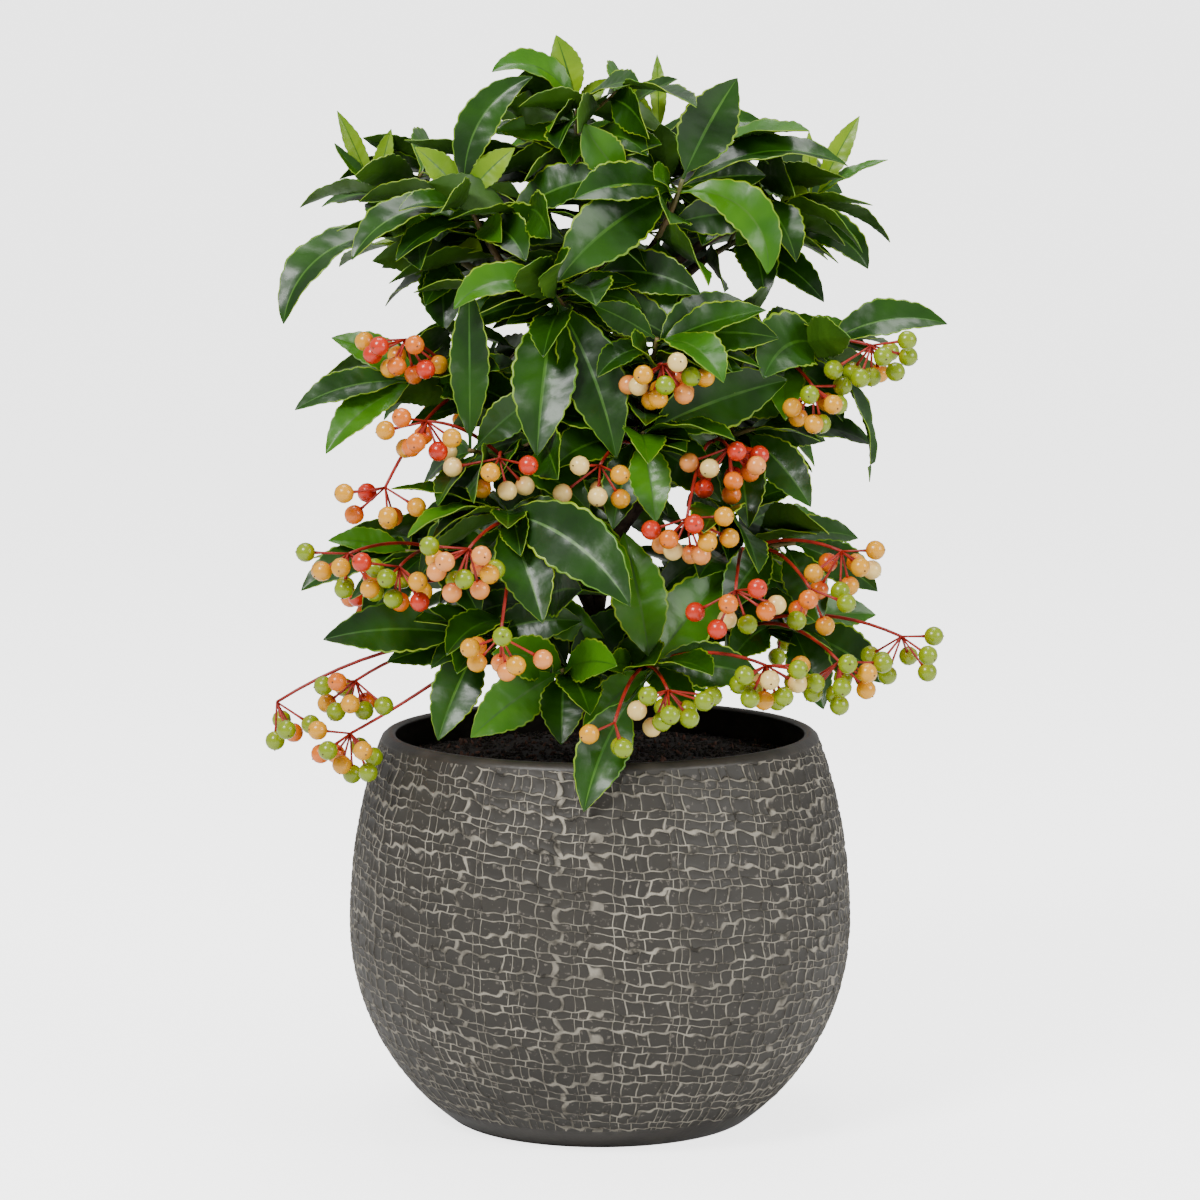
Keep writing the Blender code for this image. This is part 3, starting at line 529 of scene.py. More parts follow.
class Space:
    """Keeps the masses apart: it knows every solid so far, and tells if a new one is clear of them."""

    def __init__(self):
        self.claims = []

    def claim(self, owner, kind, shape):
        low, high = corners(shape[0])
        self.claims.append(Claim(owner, kind, BVHTree.FromPolygons(*shape), low, high))

    def meets(self, shape, counts):
        """True if the shape meets a claim for which counts(claim) is true."""
        low, high = corners(shape[0])
        tree = None
        for claim in self.claims:
            apart = any(low[i] > claim.high[i] or high[i] < claim.low[i] for i in range(3))
            if apart or not counts(claim):
                continue
            tree = tree or BVHTree.FromPolygons(*shape)
            if tree.overlap(claim.tree):
                return True
        return False

    def has_room(self, owner, whole, outer, own_kinds):
        """The whole piece keeps off other branches, and its outer part off the owner's named kinds."""
        if self.meets(whole, lambda c: c.owner != owner and c.kind != "outer leaf"):
            return False
        return not self.meets(outer, lambda c: c.owner == owner and c.kind in own_kinds)


def corners(points):
    low = Vector([min(p[i] for p in points) for i in range(3)])
    high = Vector([max(p[i] for p in points) for i in range(3)])
    return low, high


# Leaves


def half_width(leaf, t):
    """A pointed ellipse that is widest a little below its middle, on a stalk."""
    blade = max(t - leaf.stalk, 0) / (1 - leaf.stalk)
    fullness = math.sin(math.pi * blade**BLADE_SKEW) ** BLADE_FULLNESS
    return max(leaf.length * MM * leaf.width / 2 * fullness, STALK_RADIUS)


def midrib(root, leaf, count):
    """At each step along the midrib: the share of the length, the point, the side and the upper normal."""
    heading, toward = math.radians(leaf.heading), math.radians(leaf.toward)
    level = level_way(heading)
    wanted = UP * (1 - abs(leaf.face)) + level_way(toward) * leaf.face
    point = root.copy()
    for i in range(count + 1):
        t = i / count
        angle = math.radians(leaf.rise - leaf.droop * t**BEND_POWER)
        along = spun(level, UP, angle)
        if i:
            point = point + along * (leaf.length * MM / count)
        side = along.cross(wanted).normalized()
        yield t, point.copy(), side, side.cross(along)


def leaf_frames(root, leaf, stations):
    """The midrib's point, the side, the upper normal and the half width at each station of a leaf."""
    frames = []
    for t, point, side, normal in midrib(root, leaf, LEAF_STEPS):
        while len(frames) < len(stations) and stations[len(frames)] <= t + 0.5 / LEAF_STEPS:
            frames.append((point, side, normal, half_width(leaf, t)))
    return frames


def leaf_solid(root, leaf, fatten=0.0, start=0.0):
    """A thin closed blade with a keel under its midrib, from its root or from a share of its length."""
    stations = BEND_STATIONS if abs(leaf.droop) > GENTLE_DROOP else PLAIN_STATIONS
    stations = [leaf.stalk + (1 - leaf.stalk) * t for t in stations]
    frames = leaf_frames(root, leaf, (start, *stations, 1.0))
    thick = leaf.length * MM * LEAF_THICKNESS + fatten
    rings = [[frames[0][0]]]
    for point, side, normal, half in frames[1:-1]:
        wide = side * (half + fatten)
        lift = normal * (half * LEAF_FOLD + fatten)
        rings.append([point + wide + lift, point - normal * thick, point - wide + lift])
    tip = frames[-1][0]
    rings.append([tip + (tip - frames[-2][0]).normalized() * fatten])
    return lofted(rings)


def place_leaf(space, owner, root, leaf):
    """The leaf, turned a little where it must be to find its own place, or None."""
    for turn, lift, size in NUDGES:
        tried = leaf._replace(heading=leaf.heading + turn, rise=leaf.rise + lift, length=leaf.length * size)
        whole = leaf_solid(root, tried, fatten=CLEARANCE)
        outer = leaf_solid(root, tried, fatten=CLEARANCE, start=OUTER_LEAF)
        if space.has_room(owner, whole, outer, OWN_KINDS):
            space.claim(owner, "leaf", leaf_solid(root, tried))
            space.claim(owner, "outer leaf", leaf_solid(root, tried, start=OUTER_LEAF))
            return Grown("leaf", owner, root, tried)
    return None


# Berries


def ball(centre, radius):
    made = bmesh.new()
    bmesh.ops.create_icosphere(made, subdivisions=1, radius=radius)
    points = [v.co + centre for v in made.verts]
    faces = [tuple(v.index for v in f.verts) for f in made.faces]
    made.free()
    return points, faces


def berry_centres(umbel, count, luck):
    """Where a truss's berries hang: a golden spiral over a cap that faces down and outwards."""
    outward = Vector((umbel.x, umbel.y, 0)).normalized()
    axis = (outward * TRUSS_LEAN - UP).normalized()
    side, other = across(axis)
    turn = luck.uniform(0, 2 * math.pi)
    centres = []
    for i in range(count):
        tilt = TRUSS_SPREAD * math.sqrt((i + 0.5) / count)
        spin = turn + i * GOLDEN_ANGLE
        way = spun(axis, spun(side, other, spin), tilt)
        centres.append(umbel + way * luck.uniform(*PEDICEL))
    return centres


def place_peduncle(space, owner, start, umbel):
    """A thin limb from the shoot to where the berries' stalks meet, arched as far as it must be."""
    for arch in PEDUNCLE_ARCHES:
        curve = start, (start + umbel) / 2 + UP * ((umbel - start).length * arch), umbel
        radius = PEDUNCLE_RADIUS + CLEARANCE
        whole = tapered(curve, 0, 1, radius, radius, PEDUNCLE_RINGS, TWIG_SIDES)
        outer = tapered(curve, PEDUNCLE_INNER, 1, radius, radius, PEDUNCLE_RINGS, TWIG_SIDES)
        if space.has_room(owner, whole, outer, ("stalk", "berry")):
            radius = PEDUNCLE_RADIUS
            space.claim(owner, "stalk", tapered(curve, 0, 1, radius, radius, PEDUNCLE_RINGS, TWIG_SIDES))
            return Grown("peduncle", owner, umbel, curve)
    return None


def grow_truss(space, owner, start, truss):
    """A truss's peduncle, and the stalks that fan from its end to the berries. All keep their places."""
    umbel = metres(truss[:3])
    luck = random.Random(f"{owner}{truss}")
    peduncle = place_peduncle(space, owner, start, umbel)
    if not peduncle:
        return []
    grown = [peduncle]
    for centre in berry_centres(umbel, truss[3], luck):
        berry = ball(centre, BERRY_RADIUS)
        fat_berry = ball(centre, BERRY_RADIUS + CLEARANCE)
        if not space.has_room(owner, fat_berry, fat_berry, OWN_KINDS):
            continue
        fat_stalk = tube([umbel, centre], [PEDICEL_RADIUS + CLEARANCE] * 2, TWIG_SIDES)
        if not space.has_room(owner, fat_stalk, fat_stalk, ("berry",)):
            continue
        outer_stalk = [umbel.lerp(centre, PEDICEL_INNER), centre]
        space.claim(owner, "stalk", tube(outer_stalk, [PEDICEL_RADIUS] * 2, TWIG_SIDES))
        space.claim(owner, "berry", berry)
        grown.append(Grown("berry", owner, umbel, centre))
    return grown


# Branches


def trunk_point(height):
    """Where the trunk's middle line passes a height."""
    points = [metres(p) for p in TRUNK_PATH]
    low, high = 0.0, 1.0
    for _ in range(TRUNK_HALVINGS):
        share = (low + high) / 2
        low, high = (share, high) if smooth_point(points, share).z < height else (low, share)
    return smooth_point(points, low)


def branch_curve(branch, fork):
    """Steep branches go out and then up, and the others rise and then arch over."""
    start, tip = trunk_point(fork * MM), metres(branch.tip)
    level = (tip - start) * Vector((1, 1, 0))
    climb = tip.z - start.z
    out, up = STEEP_WAY if climb > level.length else ARCHED_WAY
    middle = start + level * out + UP * (climb * up + BEND_LIFT)
    return start, middle, tip


def trunk_path(shares):
    """Points along the trunk's middle line, whose first two stand upright on the soil."""
    points = [metres(p) for p in TRUNK_PATH]
    path = [smooth_point(points, share) for share in shares]
    for point in path[:2]:
        point.x = point.y = 0
    return path


def trunk_radii(path):
    """An even taper, with a flare at the foot."""
    foot, top = path[0].z, path[-1].z
    radii = []
    for point in path:
        share = (point.z - foot) / (top - foot)
        flare = (TRUNK_FOOT_RADIUS - TRUNK_RADIUS) * math.exp(-(point.z - foot) / FLARE_HEIGHT * 2)
        radii.append(TRUNK_RADIUS + (TRUNK_TIP_RADIUS - TRUNK_RADIUS) * share + flare)
    return radii


def trunk_solid():
    path = trunk_path([(i / (TRUNK_RINGS - 1)) ** FOOT_CROWDING for i in range(TRUNK_RINGS)])
    return tube(path, trunk_radii(path), TRUNK_SIDES)


def bough_solid(curve, fatten=0.0, start=0.0):
    radius, tip_radius = BOUGH_RADIUS + fatten, BOUGH_TIP_RADIUS + fatten
    return tapered(curve, start, BOUGH_SHARE, radius, tip_radius, BOUGH_RINGS, BOUGH_SIDES)


def shoot_solid(curve, on_trunk, fatten=0.0):
    """The mass's own stem. It meets the bough's tip, or the trunk's, with the gap that keeps them apart."""
    gap = GAP / (curve[2] - curve[0]).length
    start = gap if on_trunk else BOUGH_SHARE + gap
    radius = TRUNK_TIP_RADIUS if on_trunk else BOUGH_TIP_RADIUS
    return tapered(curve, start, 1, radius + fatten, SHOOT_RADIUS + fatten, SHOOT_RINGS, TWIG_SIDES)


def lay_branch(space, branch, on_trunk):
    """Finds a fork height at which the bough and the shoot are clear of all the others."""
    for shift in FORK_SHIFTS:
        curve = branch_curve(branch, branch.fork + shift)
        stem = shoot_solid(curve, on_trunk, CLEARANCE)
        if space.meets(stem, lambda c: c.owner != "trunk" or not on_trunk):
            continue
        if on_trunk:
            return curve
        outer = bough_solid(curve, CLEARANCE, CLEAR_OF_TRUNK)
        inner_too = bough_solid(curve, CLEARANCE)
        if space.meets(outer, lambda c: c.owner != "trunk" and c.kind != "outer limb"):
            continue
        if not space.meets(inner_too, lambda c: c.kind in ("outer limb", "twig")):
            return curve
    return None


def leaf_root(curve, down):
    """The point on a shoot a distance below its tip."""
    length = (curve[2] - curve[1]).length * 2
    return bezier_point(curve, 1 - min((down * MM + ROOT_INSET) / length, LEAFY_SHARE))


def grow_twig(space, owner, curve, share, heading, luck):
    """A side twig of the rule, with a whorl of leaves at its end."""
    start = bezier_point(curve, share)
    length = luck.uniform(*TWIG_LENGTH)
    rise = math.radians(luck.uniform(*TWIG_RISE))
    end = start + spun(level_way(heading), UP, rise) * length
    bend = start.lerp(end, 0.5) - UP * length * TWIG_SAG
    twig_curve = start, bend, end
    fat = TWIG_RADIUS + CLEARANCE
    whole = tapered(twig_curve, 0, 1, fat, fat, TWIG_RINGS, TWIG_SIDES)
    outer = tapered(twig_curve, TWIG_INNER, 1, fat, fat, TWIG_RINGS, TWIG_SIDES)
    if not space.has_room(owner, whole, outer, OWN_KINDS):
        return []
    grown = [Grown("twig", owner, start, twig_curve)]
    tip_radius = TWIG_RADIUS * TWIG_TIP_SHARE
    kept = tapered(twig_curve, TWIG_INNER, 1, TWIG_RADIUS, tip_radius, TWIG_RINGS, TWIG_SIDES)
    space.claim(owner, "twig", kept)
    for i in range(TWIG_LEAVES):
        leaf = rule_leaf(heading, i, luck)
        root = bend.lerp(end, TWIG_LEAF_PLACE - TWIG_LEAF_STEP * i)
        placed = place_leaf(space, owner, root, leaf)
        if placed:
            grown.append(placed)
    return grown


def rule_leaf(heading, index, luck):
    """A leaf of the rule: each turns a golden angle from the last, and those that point inwards are short."""
    turned_heading = heading + GOLDEN_ANGLE * index + luck.uniform(*RULE_TURN)
    outward = math.cos(turned_heading - heading)
    return Leaf(
        heading=math.degrees(turned_heading),
        rise=luck.uniform(*RULE_RISE) - RULE_RISE_OUTWARD * outward,
        length=luck.uniform(*RULE_LENGTH) * (1 if outward > RULE_INWARD else RULE_INWARD_SIZE),
        face=luck.uniform(*RULE_FACE),
        droop=luck.uniform(*RULE_DROOP),
        width=luck.uniform(*RULE_WIDTH),
        toward=math.degrees(heading),
    )


# The finer growth of the looks

FILLER_LEAVES = 24
FILLER_CYCLE = 3
FILLER_LENGTH = (34, 54)
FILLER_FACE = (0.3, 0.9)
FILLER_TURN = (-40, 40)
FILLER_ON_SHOOT = (0.45, 1)
FILLER_ON_TWIG = (0.4, 1)


def grow_plant():
    """The limbs' curves, and all that grows on them: first what the solids have, then the finer filling."""
    space = Space()
    for name, profile in (("pot", pot_profile()), ("soil", soil_profile())):
        space.claim(name, "pot", turned(profile, POT_SIDES))
    space.claim("trunk", "limb", trunk_solid())
    curves = {}
    grown = []
    for branch in BRANCHES:
        on_trunk = branch is BRANCHES[0]
        curve = lay_branch(space, branch, on_trunk)
        curves[branch.name] = curve
        if not on_trunk:
            space.claim(branch.name + "_bough", "limb", bough_solid(curve))
            space.claim(branch.name + "_bough", "outer limb", bough_solid(curve, start=CLEAR_OF_TRUNK))
        space.claim(branch.name, "twig", shoot_solid(curve, on_trunk))
    for branch in BRANCHES:
        for i, truss in enumerate(branch.trusses):
            start = bezier_point(curves[branch.name], PEDUNCLE_START + PEDUNCLE_STEP * i)
            grown += grow_truss(space, branch.name, start, truss)
    for branch in BRANCHES:
        for i, leaf in enumerate(branch.leaves):
            root = leaf_root(curves[branch.name], leaf.down + i * LEAF_STEP)
            grown.append(place_leaf(space, branch.name, root, leaf))
    for branch in BRANCHES:
        luck = random.Random(branch.name)
        outward = math.atan2(branch.tip[1], branch.tip[0])
        if not branch.leaves:
            for i in range(TOP_LEAVES):
                leaf = rule_leaf(outward, i, luck)
                root = leaf_root(curves[branch.name], i * 2 * LEAF_STEP)
                grown.append(place_leaf(space, branch.name, root, leaf))
        for i in range(branch.twigs):
            share = TWIG_TOP - TWIG_STRETCH * (i + 0.5) / branch.twigs
            heading = outward + GOLDEN_ANGLE * (i + 1)
            grown += grow_twig(space, branch.name, curves[branch.name], share, heading, luck)
    grown = [g for g in grown if g]
    grown += fill_crown(space, curves, [g for g in grown if g.kind == "twig"])
    return curves, grown


def fill_crown(space, curves, twigs):
    """Smaller leaves between the others, along each shoot, bough and twig, where there is room for them."""
    grown = []
    for branch in BRANCHES:
        luck = random.Random(branch.name + " filling")
        outward = math.atan2(branch.tip[1], branch.tip[0])
        limb = curves[branch.name]
        own = [g.shape for g in twigs if g.owner == branch.name]
        for i in range(FILLER_LEAVES):
            on_twig = own and i % FILLER_CYCLE == FILLER_CYCLE - 1
            curve = luck.choice(own) if on_twig else limb
            share = luck.uniform(*(FILLER_ON_SHOOT if curve is limb else FILLER_ON_TWIG))
            leaf = rule_leaf(outward + GOLDEN_ANGLE * i, 0, luck)._replace(
                length=luck.uniform(*FILLER_LENGTH),
                face=luck.uniform(*FILLER_FACE),
                toward=math.degrees(outward) + luck.uniform(*FILLER_TURN),
            )
            placed = place_leaf(space, branch.name, bezier_point(curve, share), leaf)
            if placed:
                grown.append(placed)
    return grown


# Materials


class Finish(NamedTuple):
    """Two close colours in patches: scale is how many to the metre, and grain how high the fine relief is."""

    dark: tuple
    light: tuple
    roughness: float
    scale: float
    coat: float = 0.0
    specular: float = 0.5
    grain: float = 0.2 * MM


FINISHES = {
    "leaf green": Finish((0.005, 0.03, 0.0002), (0.017, 0.076, 0.0004), 0.33, 40, 0.08, 0.32),
    "leaf fresh green": Finish((0.022, 0.105, 0.0004), (0.055, 0.19, 0.0008), 0.35, 40, 0.08, 0.32),
    "leaf young green": Finish((0.12, 0.25, 0.001), (0.22, 0.37, 0.002), 0.4, 40, 0.05, 0.32),
    "leaf midrib": Finish((0.02, 0.09, 0.002), (0.05, 0.15, 0.004), 0.4, 60),
    "leaf margin": Finish((0.07, 0.2, 0.004), (0.28, 0.42, 0.01), 0.4, 60),
    "leaf underside": Finish((0.02, 0.07, 0.002), (0.045, 0.12, 0.004), 0.5, 40),
    "flower scar": Finish((0.05, 0.025, 0.01), (0.1, 0.05, 0.02), 0.7, 300),
    "red stalk": Finish((0.22, 0.008, 0.004), (0.42, 0.02, 0.01), 0.45, 120),
    "bark": Finish((0.03, 0.017, 0.009), (0.1, 0.06, 0.035), 0.75, 150, grain=0.6 * MM),
    "green shoot": Finish((0.1, 0.11, 0.03), (0.2, 0.12, 0.04), 0.5, 90),
    "smooth clay": Finish((0.018, 0.015, 0.011), (0.036, 0.03, 0.022), 0.45, 90),
    "potting soil": Finish((0.006, 0.004, 0.003), (0.022, 0.013, 0.008), 0.95, 220, grain=1 * MM),
    "bark chip": Finish((0.035, 0.014, 0.008), (0.09, 0.036, 0.02), 0.85, 220, grain=1 * MM),
}
PATCH_EDGES = (0.32, 0.68)
GRAIN_FINENESS = 6
GRAIN_STRENGTH = 0.5
COAT_ROUGHNESS = 0.12

# Each berry's colour, and the colour that it turns to at its stalk
BERRY_TINTS = {
    "lime": ((0.22, 0.31, 0.001), (0.34, 0.33, 0.001)),
    "gold": ((0.75, 0.33, 0.001), (0.75, 0.14, 0.002)),
    "amber": ((0.74, 0.16, 0.001), (0.6, 0.03, 0.001)),
    "cream": ((0.88, 0.62, 0.2), (0.85, 0.36, 0.08)),
    "peach": ((0.85, 0.3, 0.06), (0.7, 0.08, 0.01)),
    "coral": ((0.6, 0.025, 0.003), (0.42, 0.006, 0.002)),
}
BERRY_ROUGHNESS = 0.26
BERRY_COAT = 0.2

# The glaze: each mask has its scale, its detail, and the levels at which it starts and is whole
TILE_COLOURS = (0.016, 0.0135, 0.0095), (0.034, 0.029, 0.021)
TILE_PATCHES = 60
DUST_COLOUR = (0.12, 0.105, 0.085)
LINE_COLOUR = (0.34, 0.31, 0.25)
GLAZE_WEAR = (28, 4, 0.36, 0.62)
LINE_BREAKS = (160, 3, 0.3, 0.55)
DUST_SPECKS = (420, 2, 0.62, 0.72)
WEAR_LEVELS = (-0.9, 1)
GLAZE_ROUGHNESS_LEVELS = (-1.5, 1.2)
LINE_SOFTNESS = 0.6
GLAZE_ROUGHNESS = 0.45
GLAZE_BUMP = 0.8 * MM


def set_inputs(node, values):
    for name, value in values.items():
        node.inputs[name].default_value = value


def new_material(name, roughness, coat=0.0, specular=0.5):
    made = bpy.data.materials.new(name)
    made.use_nodes = True
    shader = made.node_tree.nodes["Principled BSDF"]
    set_inputs(shader, {"Roughness": roughness, "Specular IOR Level": specular})
    set_inputs(shader, {"Coat Weight": coat, "Coat Roughness": COAT_ROUGHNESS})
    return made, made.node_tree.nodes, made.node_tree.links, shader


def noise(nodes, links, vector, scale, detail=3.0):
    made = nodes.new("ShaderNodeTexNoise")
    set_inputs(made, {"Scale": scale, "Detail": detail})
    links.new(vector, made.inputs["Vector"])
    return made.outputs["Fac"]


def mix(nodes, links, factor, first, second):
    """A mix of two colours, each a plain one or a socket."""
    made = nodes.new("ShaderNodeMix")
    made.data_type = "RGBA"
    links.new(factor, made.inputs["Factor"])
    for socket, value in ((made.inputs["A"], first), (made.inputs["B"], second)):
        if isinstance(value, tuple):
            socket.default_value = (*value, 1)
        else:
            links.new(value, socket)
    return made.outputs["Result"]


def product(nodes, links, first, second):
    made = nodes.new("ShaderNodeMath")
    made.operation = "MULTIPLY"
    for socket, value in zip(made.inputs, (first, second)):
        if isinstance(value, (int, float)):
            socket.default_value = value
        else:
            links.new(value, socket)
    return made.outputs[0]


def ramp(nodes, links, factor, low, high, result=(0, 1)):
    """The factor from low to high, brought evenly to the result's two values."""
    made = nodes.new("ShaderNodeMapRange")
    set_inputs(made, {"From Min": low, "From Max": high, "To Min": result[0], "To Max": result[1]})
    links.new(factor, made.inputs["Value"])
    return made.outputs["Result"]


def mask(nodes, links, place, scale, detail, low, high):
    return ramp(nodes, links, noise(nodes, links, place, scale, detail), low, high)


def bump(nodes, links, height, shader, distance, strength=1.0):
    made = nodes.new("ShaderNodeBump")
    set_inputs(made, {"Distance": distance, "Strength": strength})
    links.new(height, made.inputs["Height"])
    links.new(made.outputs["Normal"], shader.inputs["Normal"])


def add_sockets(tree, sockets):
    for name, way, kind in sockets:
        tree.interface.new_socket(name, in_out=way, socket_type=kind)


def mottling_group():
    """Patches of two close colours with a fine grain, which most of the plant's surfaces share."""
    group = bpy.data.node_groups.new("mottling", "ShaderNodeTree")
    sockets = (
        ("Scale", "INPUT", "NodeSocketFloat"),
        ("Dark", "INPUT", "NodeSocketColor"),
        ("Light", "INPUT", "NodeSocketColor"),
        ("Color", "OUTPUT", "NodeSocketColor"),
        ("Grain", "OUTPUT", "NodeSocketFloat"),
    )
    add_sockets(group, sockets)
    nodes, links = group.nodes, group.links
    given = nodes.new("NodeGroupInput").outputs
    result = nodes.new("NodeGroupOutput").inputs
    place = nodes.new("ShaderNodeTexCoord").outputs["Object"]
    wide = nodes.new("ShaderNodeTexNoise")
    fine = nodes.new("ShaderNodeTexNoise")
    links.new(given["Scale"], wide.inputs["Scale"])
    links.new(product(nodes, links, given["Scale"], GRAIN_FINENESS), fine.inputs["Scale"])
    for texture in (wide, fine):
        links.new(place, texture.inputs["Vector"])
    patches = ramp(nodes, links, wide.outputs["Fac"], *PATCH_EDGES)
    links.new(mix(nodes, links, patches, given["Dark"], given["Light"]), result["Color"])
    links.new(fine.outputs["Fac"], result["Grain"])
    return group


def mottled(name):
    """The named finish: two close colours that change over the surface, with a fine grain."""
    finish = FINISHES[name]
    made, nodes, links, shader = new_material(name, finish.roughness, finish.coat, finish.specular)
    mottling = nodes.new("ShaderNodeGroup")
    mottling.node_tree = bpy.data.node_groups.get("mottling") or mottling_group()
    set_inputs(mottling, {"Scale": finish.scale, "Dark": (*finish.dark, 1), "Light": (*finish.light, 1)})
    links.new(mottling.outputs["Color"], shader.inputs["Base Color"])
    bump(nodes, links, mottling.outputs["Grain"], shader, finish.grain, GRAIN_STRENGTH)
    return made


def berry_material(name):
    """A glossy berry whose colour turns towards its stalk."""
    made, nodes, links, shader = new_material(name + " berry", BERRY_ROUGHNESS, BERRY_COAT)
    near_stalk = nodes.new("ShaderNodeAttribute")
    near_stalk.attribute_name = "near_stalk"
    colour = mix(nodes, links, near_stalk.outputs["Fac"], *BERRY_TINTS[name])
    links.new(colour, shader.inputs["Base Color"])
    return made


def glaze_material():
    """Dark clay tiles between raised pale lines that break off here and there, with specks of dust."""
    made, nodes, links, shader = new_material("cracked glaze", GLAZE_ROUGHNESS)
    uv = nodes.new("ShaderNodeUVMap")
    uv.uv_map = "tiles"
    place = nodes.new("ShaderNodeTexCoord").outputs["Object"]
    brick = nodes.new("ShaderNodeTexBrick")
    brick.offset = TILE_OFFSET
    brick.squash = TILE_SQUASH
    settings = {
        "Scale": 1,
        "Brick Width": TILE_WIDTH,
        "Row Height": TILE_HEIGHT,
        "Mortar Size": LINE_WIDTH,
        "Mortar Smooth": LINE_SOFTNESS,
    }
    set_inputs(brick, settings)
    links.new(uv.outputs["UV"], brick.inputs["Vector"])
    line = brick.outputs["Fac"]
    broken = product(nodes, links, line, mask(nodes, links, place, *LINE_BREAKS))
    wear = ramp(nodes, links, mask(nodes, links, place, *GLAZE_WEAR), *WEAR_LEVELS)
    faded = product(nodes, links, broken, wear)
    tiles = mix(nodes, links, noise(nodes, links, place, TILE_PATCHES), *TILE_COLOURS)
    dusty = mix(nodes, links, mask(nodes, links, place, *DUST_SPECKS), tiles, DUST_COLOUR)
    links.new(mix(nodes, links, faded, dusty, LINE_COLOUR), shader.inputs["Base Color"])
    links.new(ramp(nodes, links, line, *GLAZE_ROUGHNESS_LEVELS), shader.inputs["Roughness"])
    bump(nodes, links, line, shader, GLAZE_BUMP)
    return made


# Joined meshes

MOST_FACES = 90000
LIMB_SIDES = 12
SHOOT_SIDES = 8
TWIG_ROUND = 6


def stand(name, data):
    """An object with this mesh, light or camera, at the origin of the scene."""
    made = bpy.data.objects.new(name, data)
    bpy.context.scene.collection.objects.link(made)
    return made


class Batch:
    """Faces of one kind, gathered piece by piece and joined into meshes of a limited size."""

    def __init__(self, name, materials):
        self.name = name
        self.materials = materials
        self.made = []
        self.clear()

    def clear(self):
        self.points, self.faces, self.slots, self.values = [], [], [], []
        self.count = 0

    def add(self, points, faces, slots, values=None):
        if len(self.faces) + len(faces) > MOST_FACES:
            self.finish()
        self.points.append(np.asarray(points, dtype=float))
        self.faces += [tuple(self.count + i for i in face) for face in faces]
        self.slots += [slots] * len(faces) if isinstance(slots, int) else list(slots)
        self.values += [0.0] * len(points) if values is None else list(values)
        self.count += len(points)

    def add_tube(self, path, radii, sides, slot=0):
        points, faces = tube(path, radii, sides)
        self.add([tuple(p) for p in points], faces, slot)

    def finish(self):
        if not self.faces:
            return self.made
        name = f"{self.name}_{len(self.made) + 1}"
        mesh = bpy.data.meshes.new(name)
        mesh.from_pydata(np.concatenate(self.points), [], self.faces)
        for material in self.materials:
            mesh.materials.append(material)
        mesh.polygons.foreach_set("material_index", self.slots)
        if any(self.values):
            mesh.attributes.new("near_stalk", "FLOAT", "POINT").data.foreach_set("value", self.values)
        mesh.shade_smooth()
        self.made.append(stand(name, mesh))
        self.clear()
        return self.made


# Fine leaves

LEAF_ROWS = 40
LEAF_ACROSS = np.array([-1, -0.93, -0.6, -0.3, -0.05, 0.05, 0.3, 0.6, 0.93, 1])
MIDRIB_COLUMN = 4
MIDRIB_HALF = 0.06
BLADE, MIDRIB, MARGIN, UNDERSIDE = range(4)
FOLD_LIFT = 2.2
FOLD_POWER = 1.4
SIDE_VEINS = 9
VEIN_SLANT = 0.16
VEIN_RELIEF = 0.016
VEIN_EDGE_POWER = 8
FLUTTER = 0.012
FLUTTER_RATE = 19
FLUTTER_LAG = 1.3
TEETH = 10
TOOTH_DEPTH = 0.1
TOOTH_LEVEL = 0.6
TIP_HALF = 0.12 * MM
SHEET_THICKNESS = 0.35 * MM
YOUNG_LEAF = 40
YOUNG_RISE = 45
FRESH_SHARE = 0.22
SMALL_LEAF = 33
SMALL_YOUNG_SHARE = 0.4
AGE_SEED = 4


def leaf_mesh(root, leaf):
    """A fine leaf: toothed margins, sunk midrib and quilted side veins, as a closed thin shell."""
    frames = list(midrib(root, leaf, LEAF_ROWS))
    shares, middle, side, normal = (np.array([f[i] for f in frames]) for i in range(4))
    half = np.array([fine_half_width(leaf, t) for t in shares])[:, None]
    t = shares[:, None]
    u = LEAF_ACROSS[None, :]
    fade = np.sin(np.pi * t)
    veins = np.abs(np.sin(np.pi * SIDE_VEINS * (t - VEIN_SLANT * np.abs(u)))) - 0.5
    size = leaf.length * MM
    height = half * (FOLD_LIFT * LEAF_FOLD * np.abs(u) ** FOLD_POWER)
    height = height + size * VEIN_RELIEF * veins * fade * (1 - u**VEIN_EDGE_POWER) * (np.abs(u) > MIDRIB_HALF)
    height = height + size * FLUTTER * np.sin(t * FLUTTER_RATE + np.sign(u) * FLUTTER_LAG) * u**2 * fade
    reach = (u * half)[:, :, None]
    top = middle[:, None, :] + side[:, None, :] * reach + normal[:, None, :] * height[:, :, None]
    under = top - normal[:, None, :] * SHEET_THICKNESS
    points = np.concatenate([top.reshape(-1, 3), under.reshape(-1, 3)])
    return points, *leaf_faces(len(shares), len(LEAF_ACROSS))


def fine_half_width(leaf, t):
    """The blade's half width with its round teeth, down to the stalk's and the tip's."""
    blade = min(max(t - leaf.stalk, 0) / (1 - leaf.stalk), 1)
    fullness = max(math.sin(math.pi * blade**BLADE_SKEW), 0) ** BLADE_FULLNESS
    tooth = 1 + TOOTH_DEPTH * (abs(math.sin(math.pi * TEETH * blade)) - TOOTH_LEVEL)
    return max(leaf.length * MM * leaf.width / 2 * fullness * tooth, STALK_RADIUS if t < 0.5 else TIP_HALF)


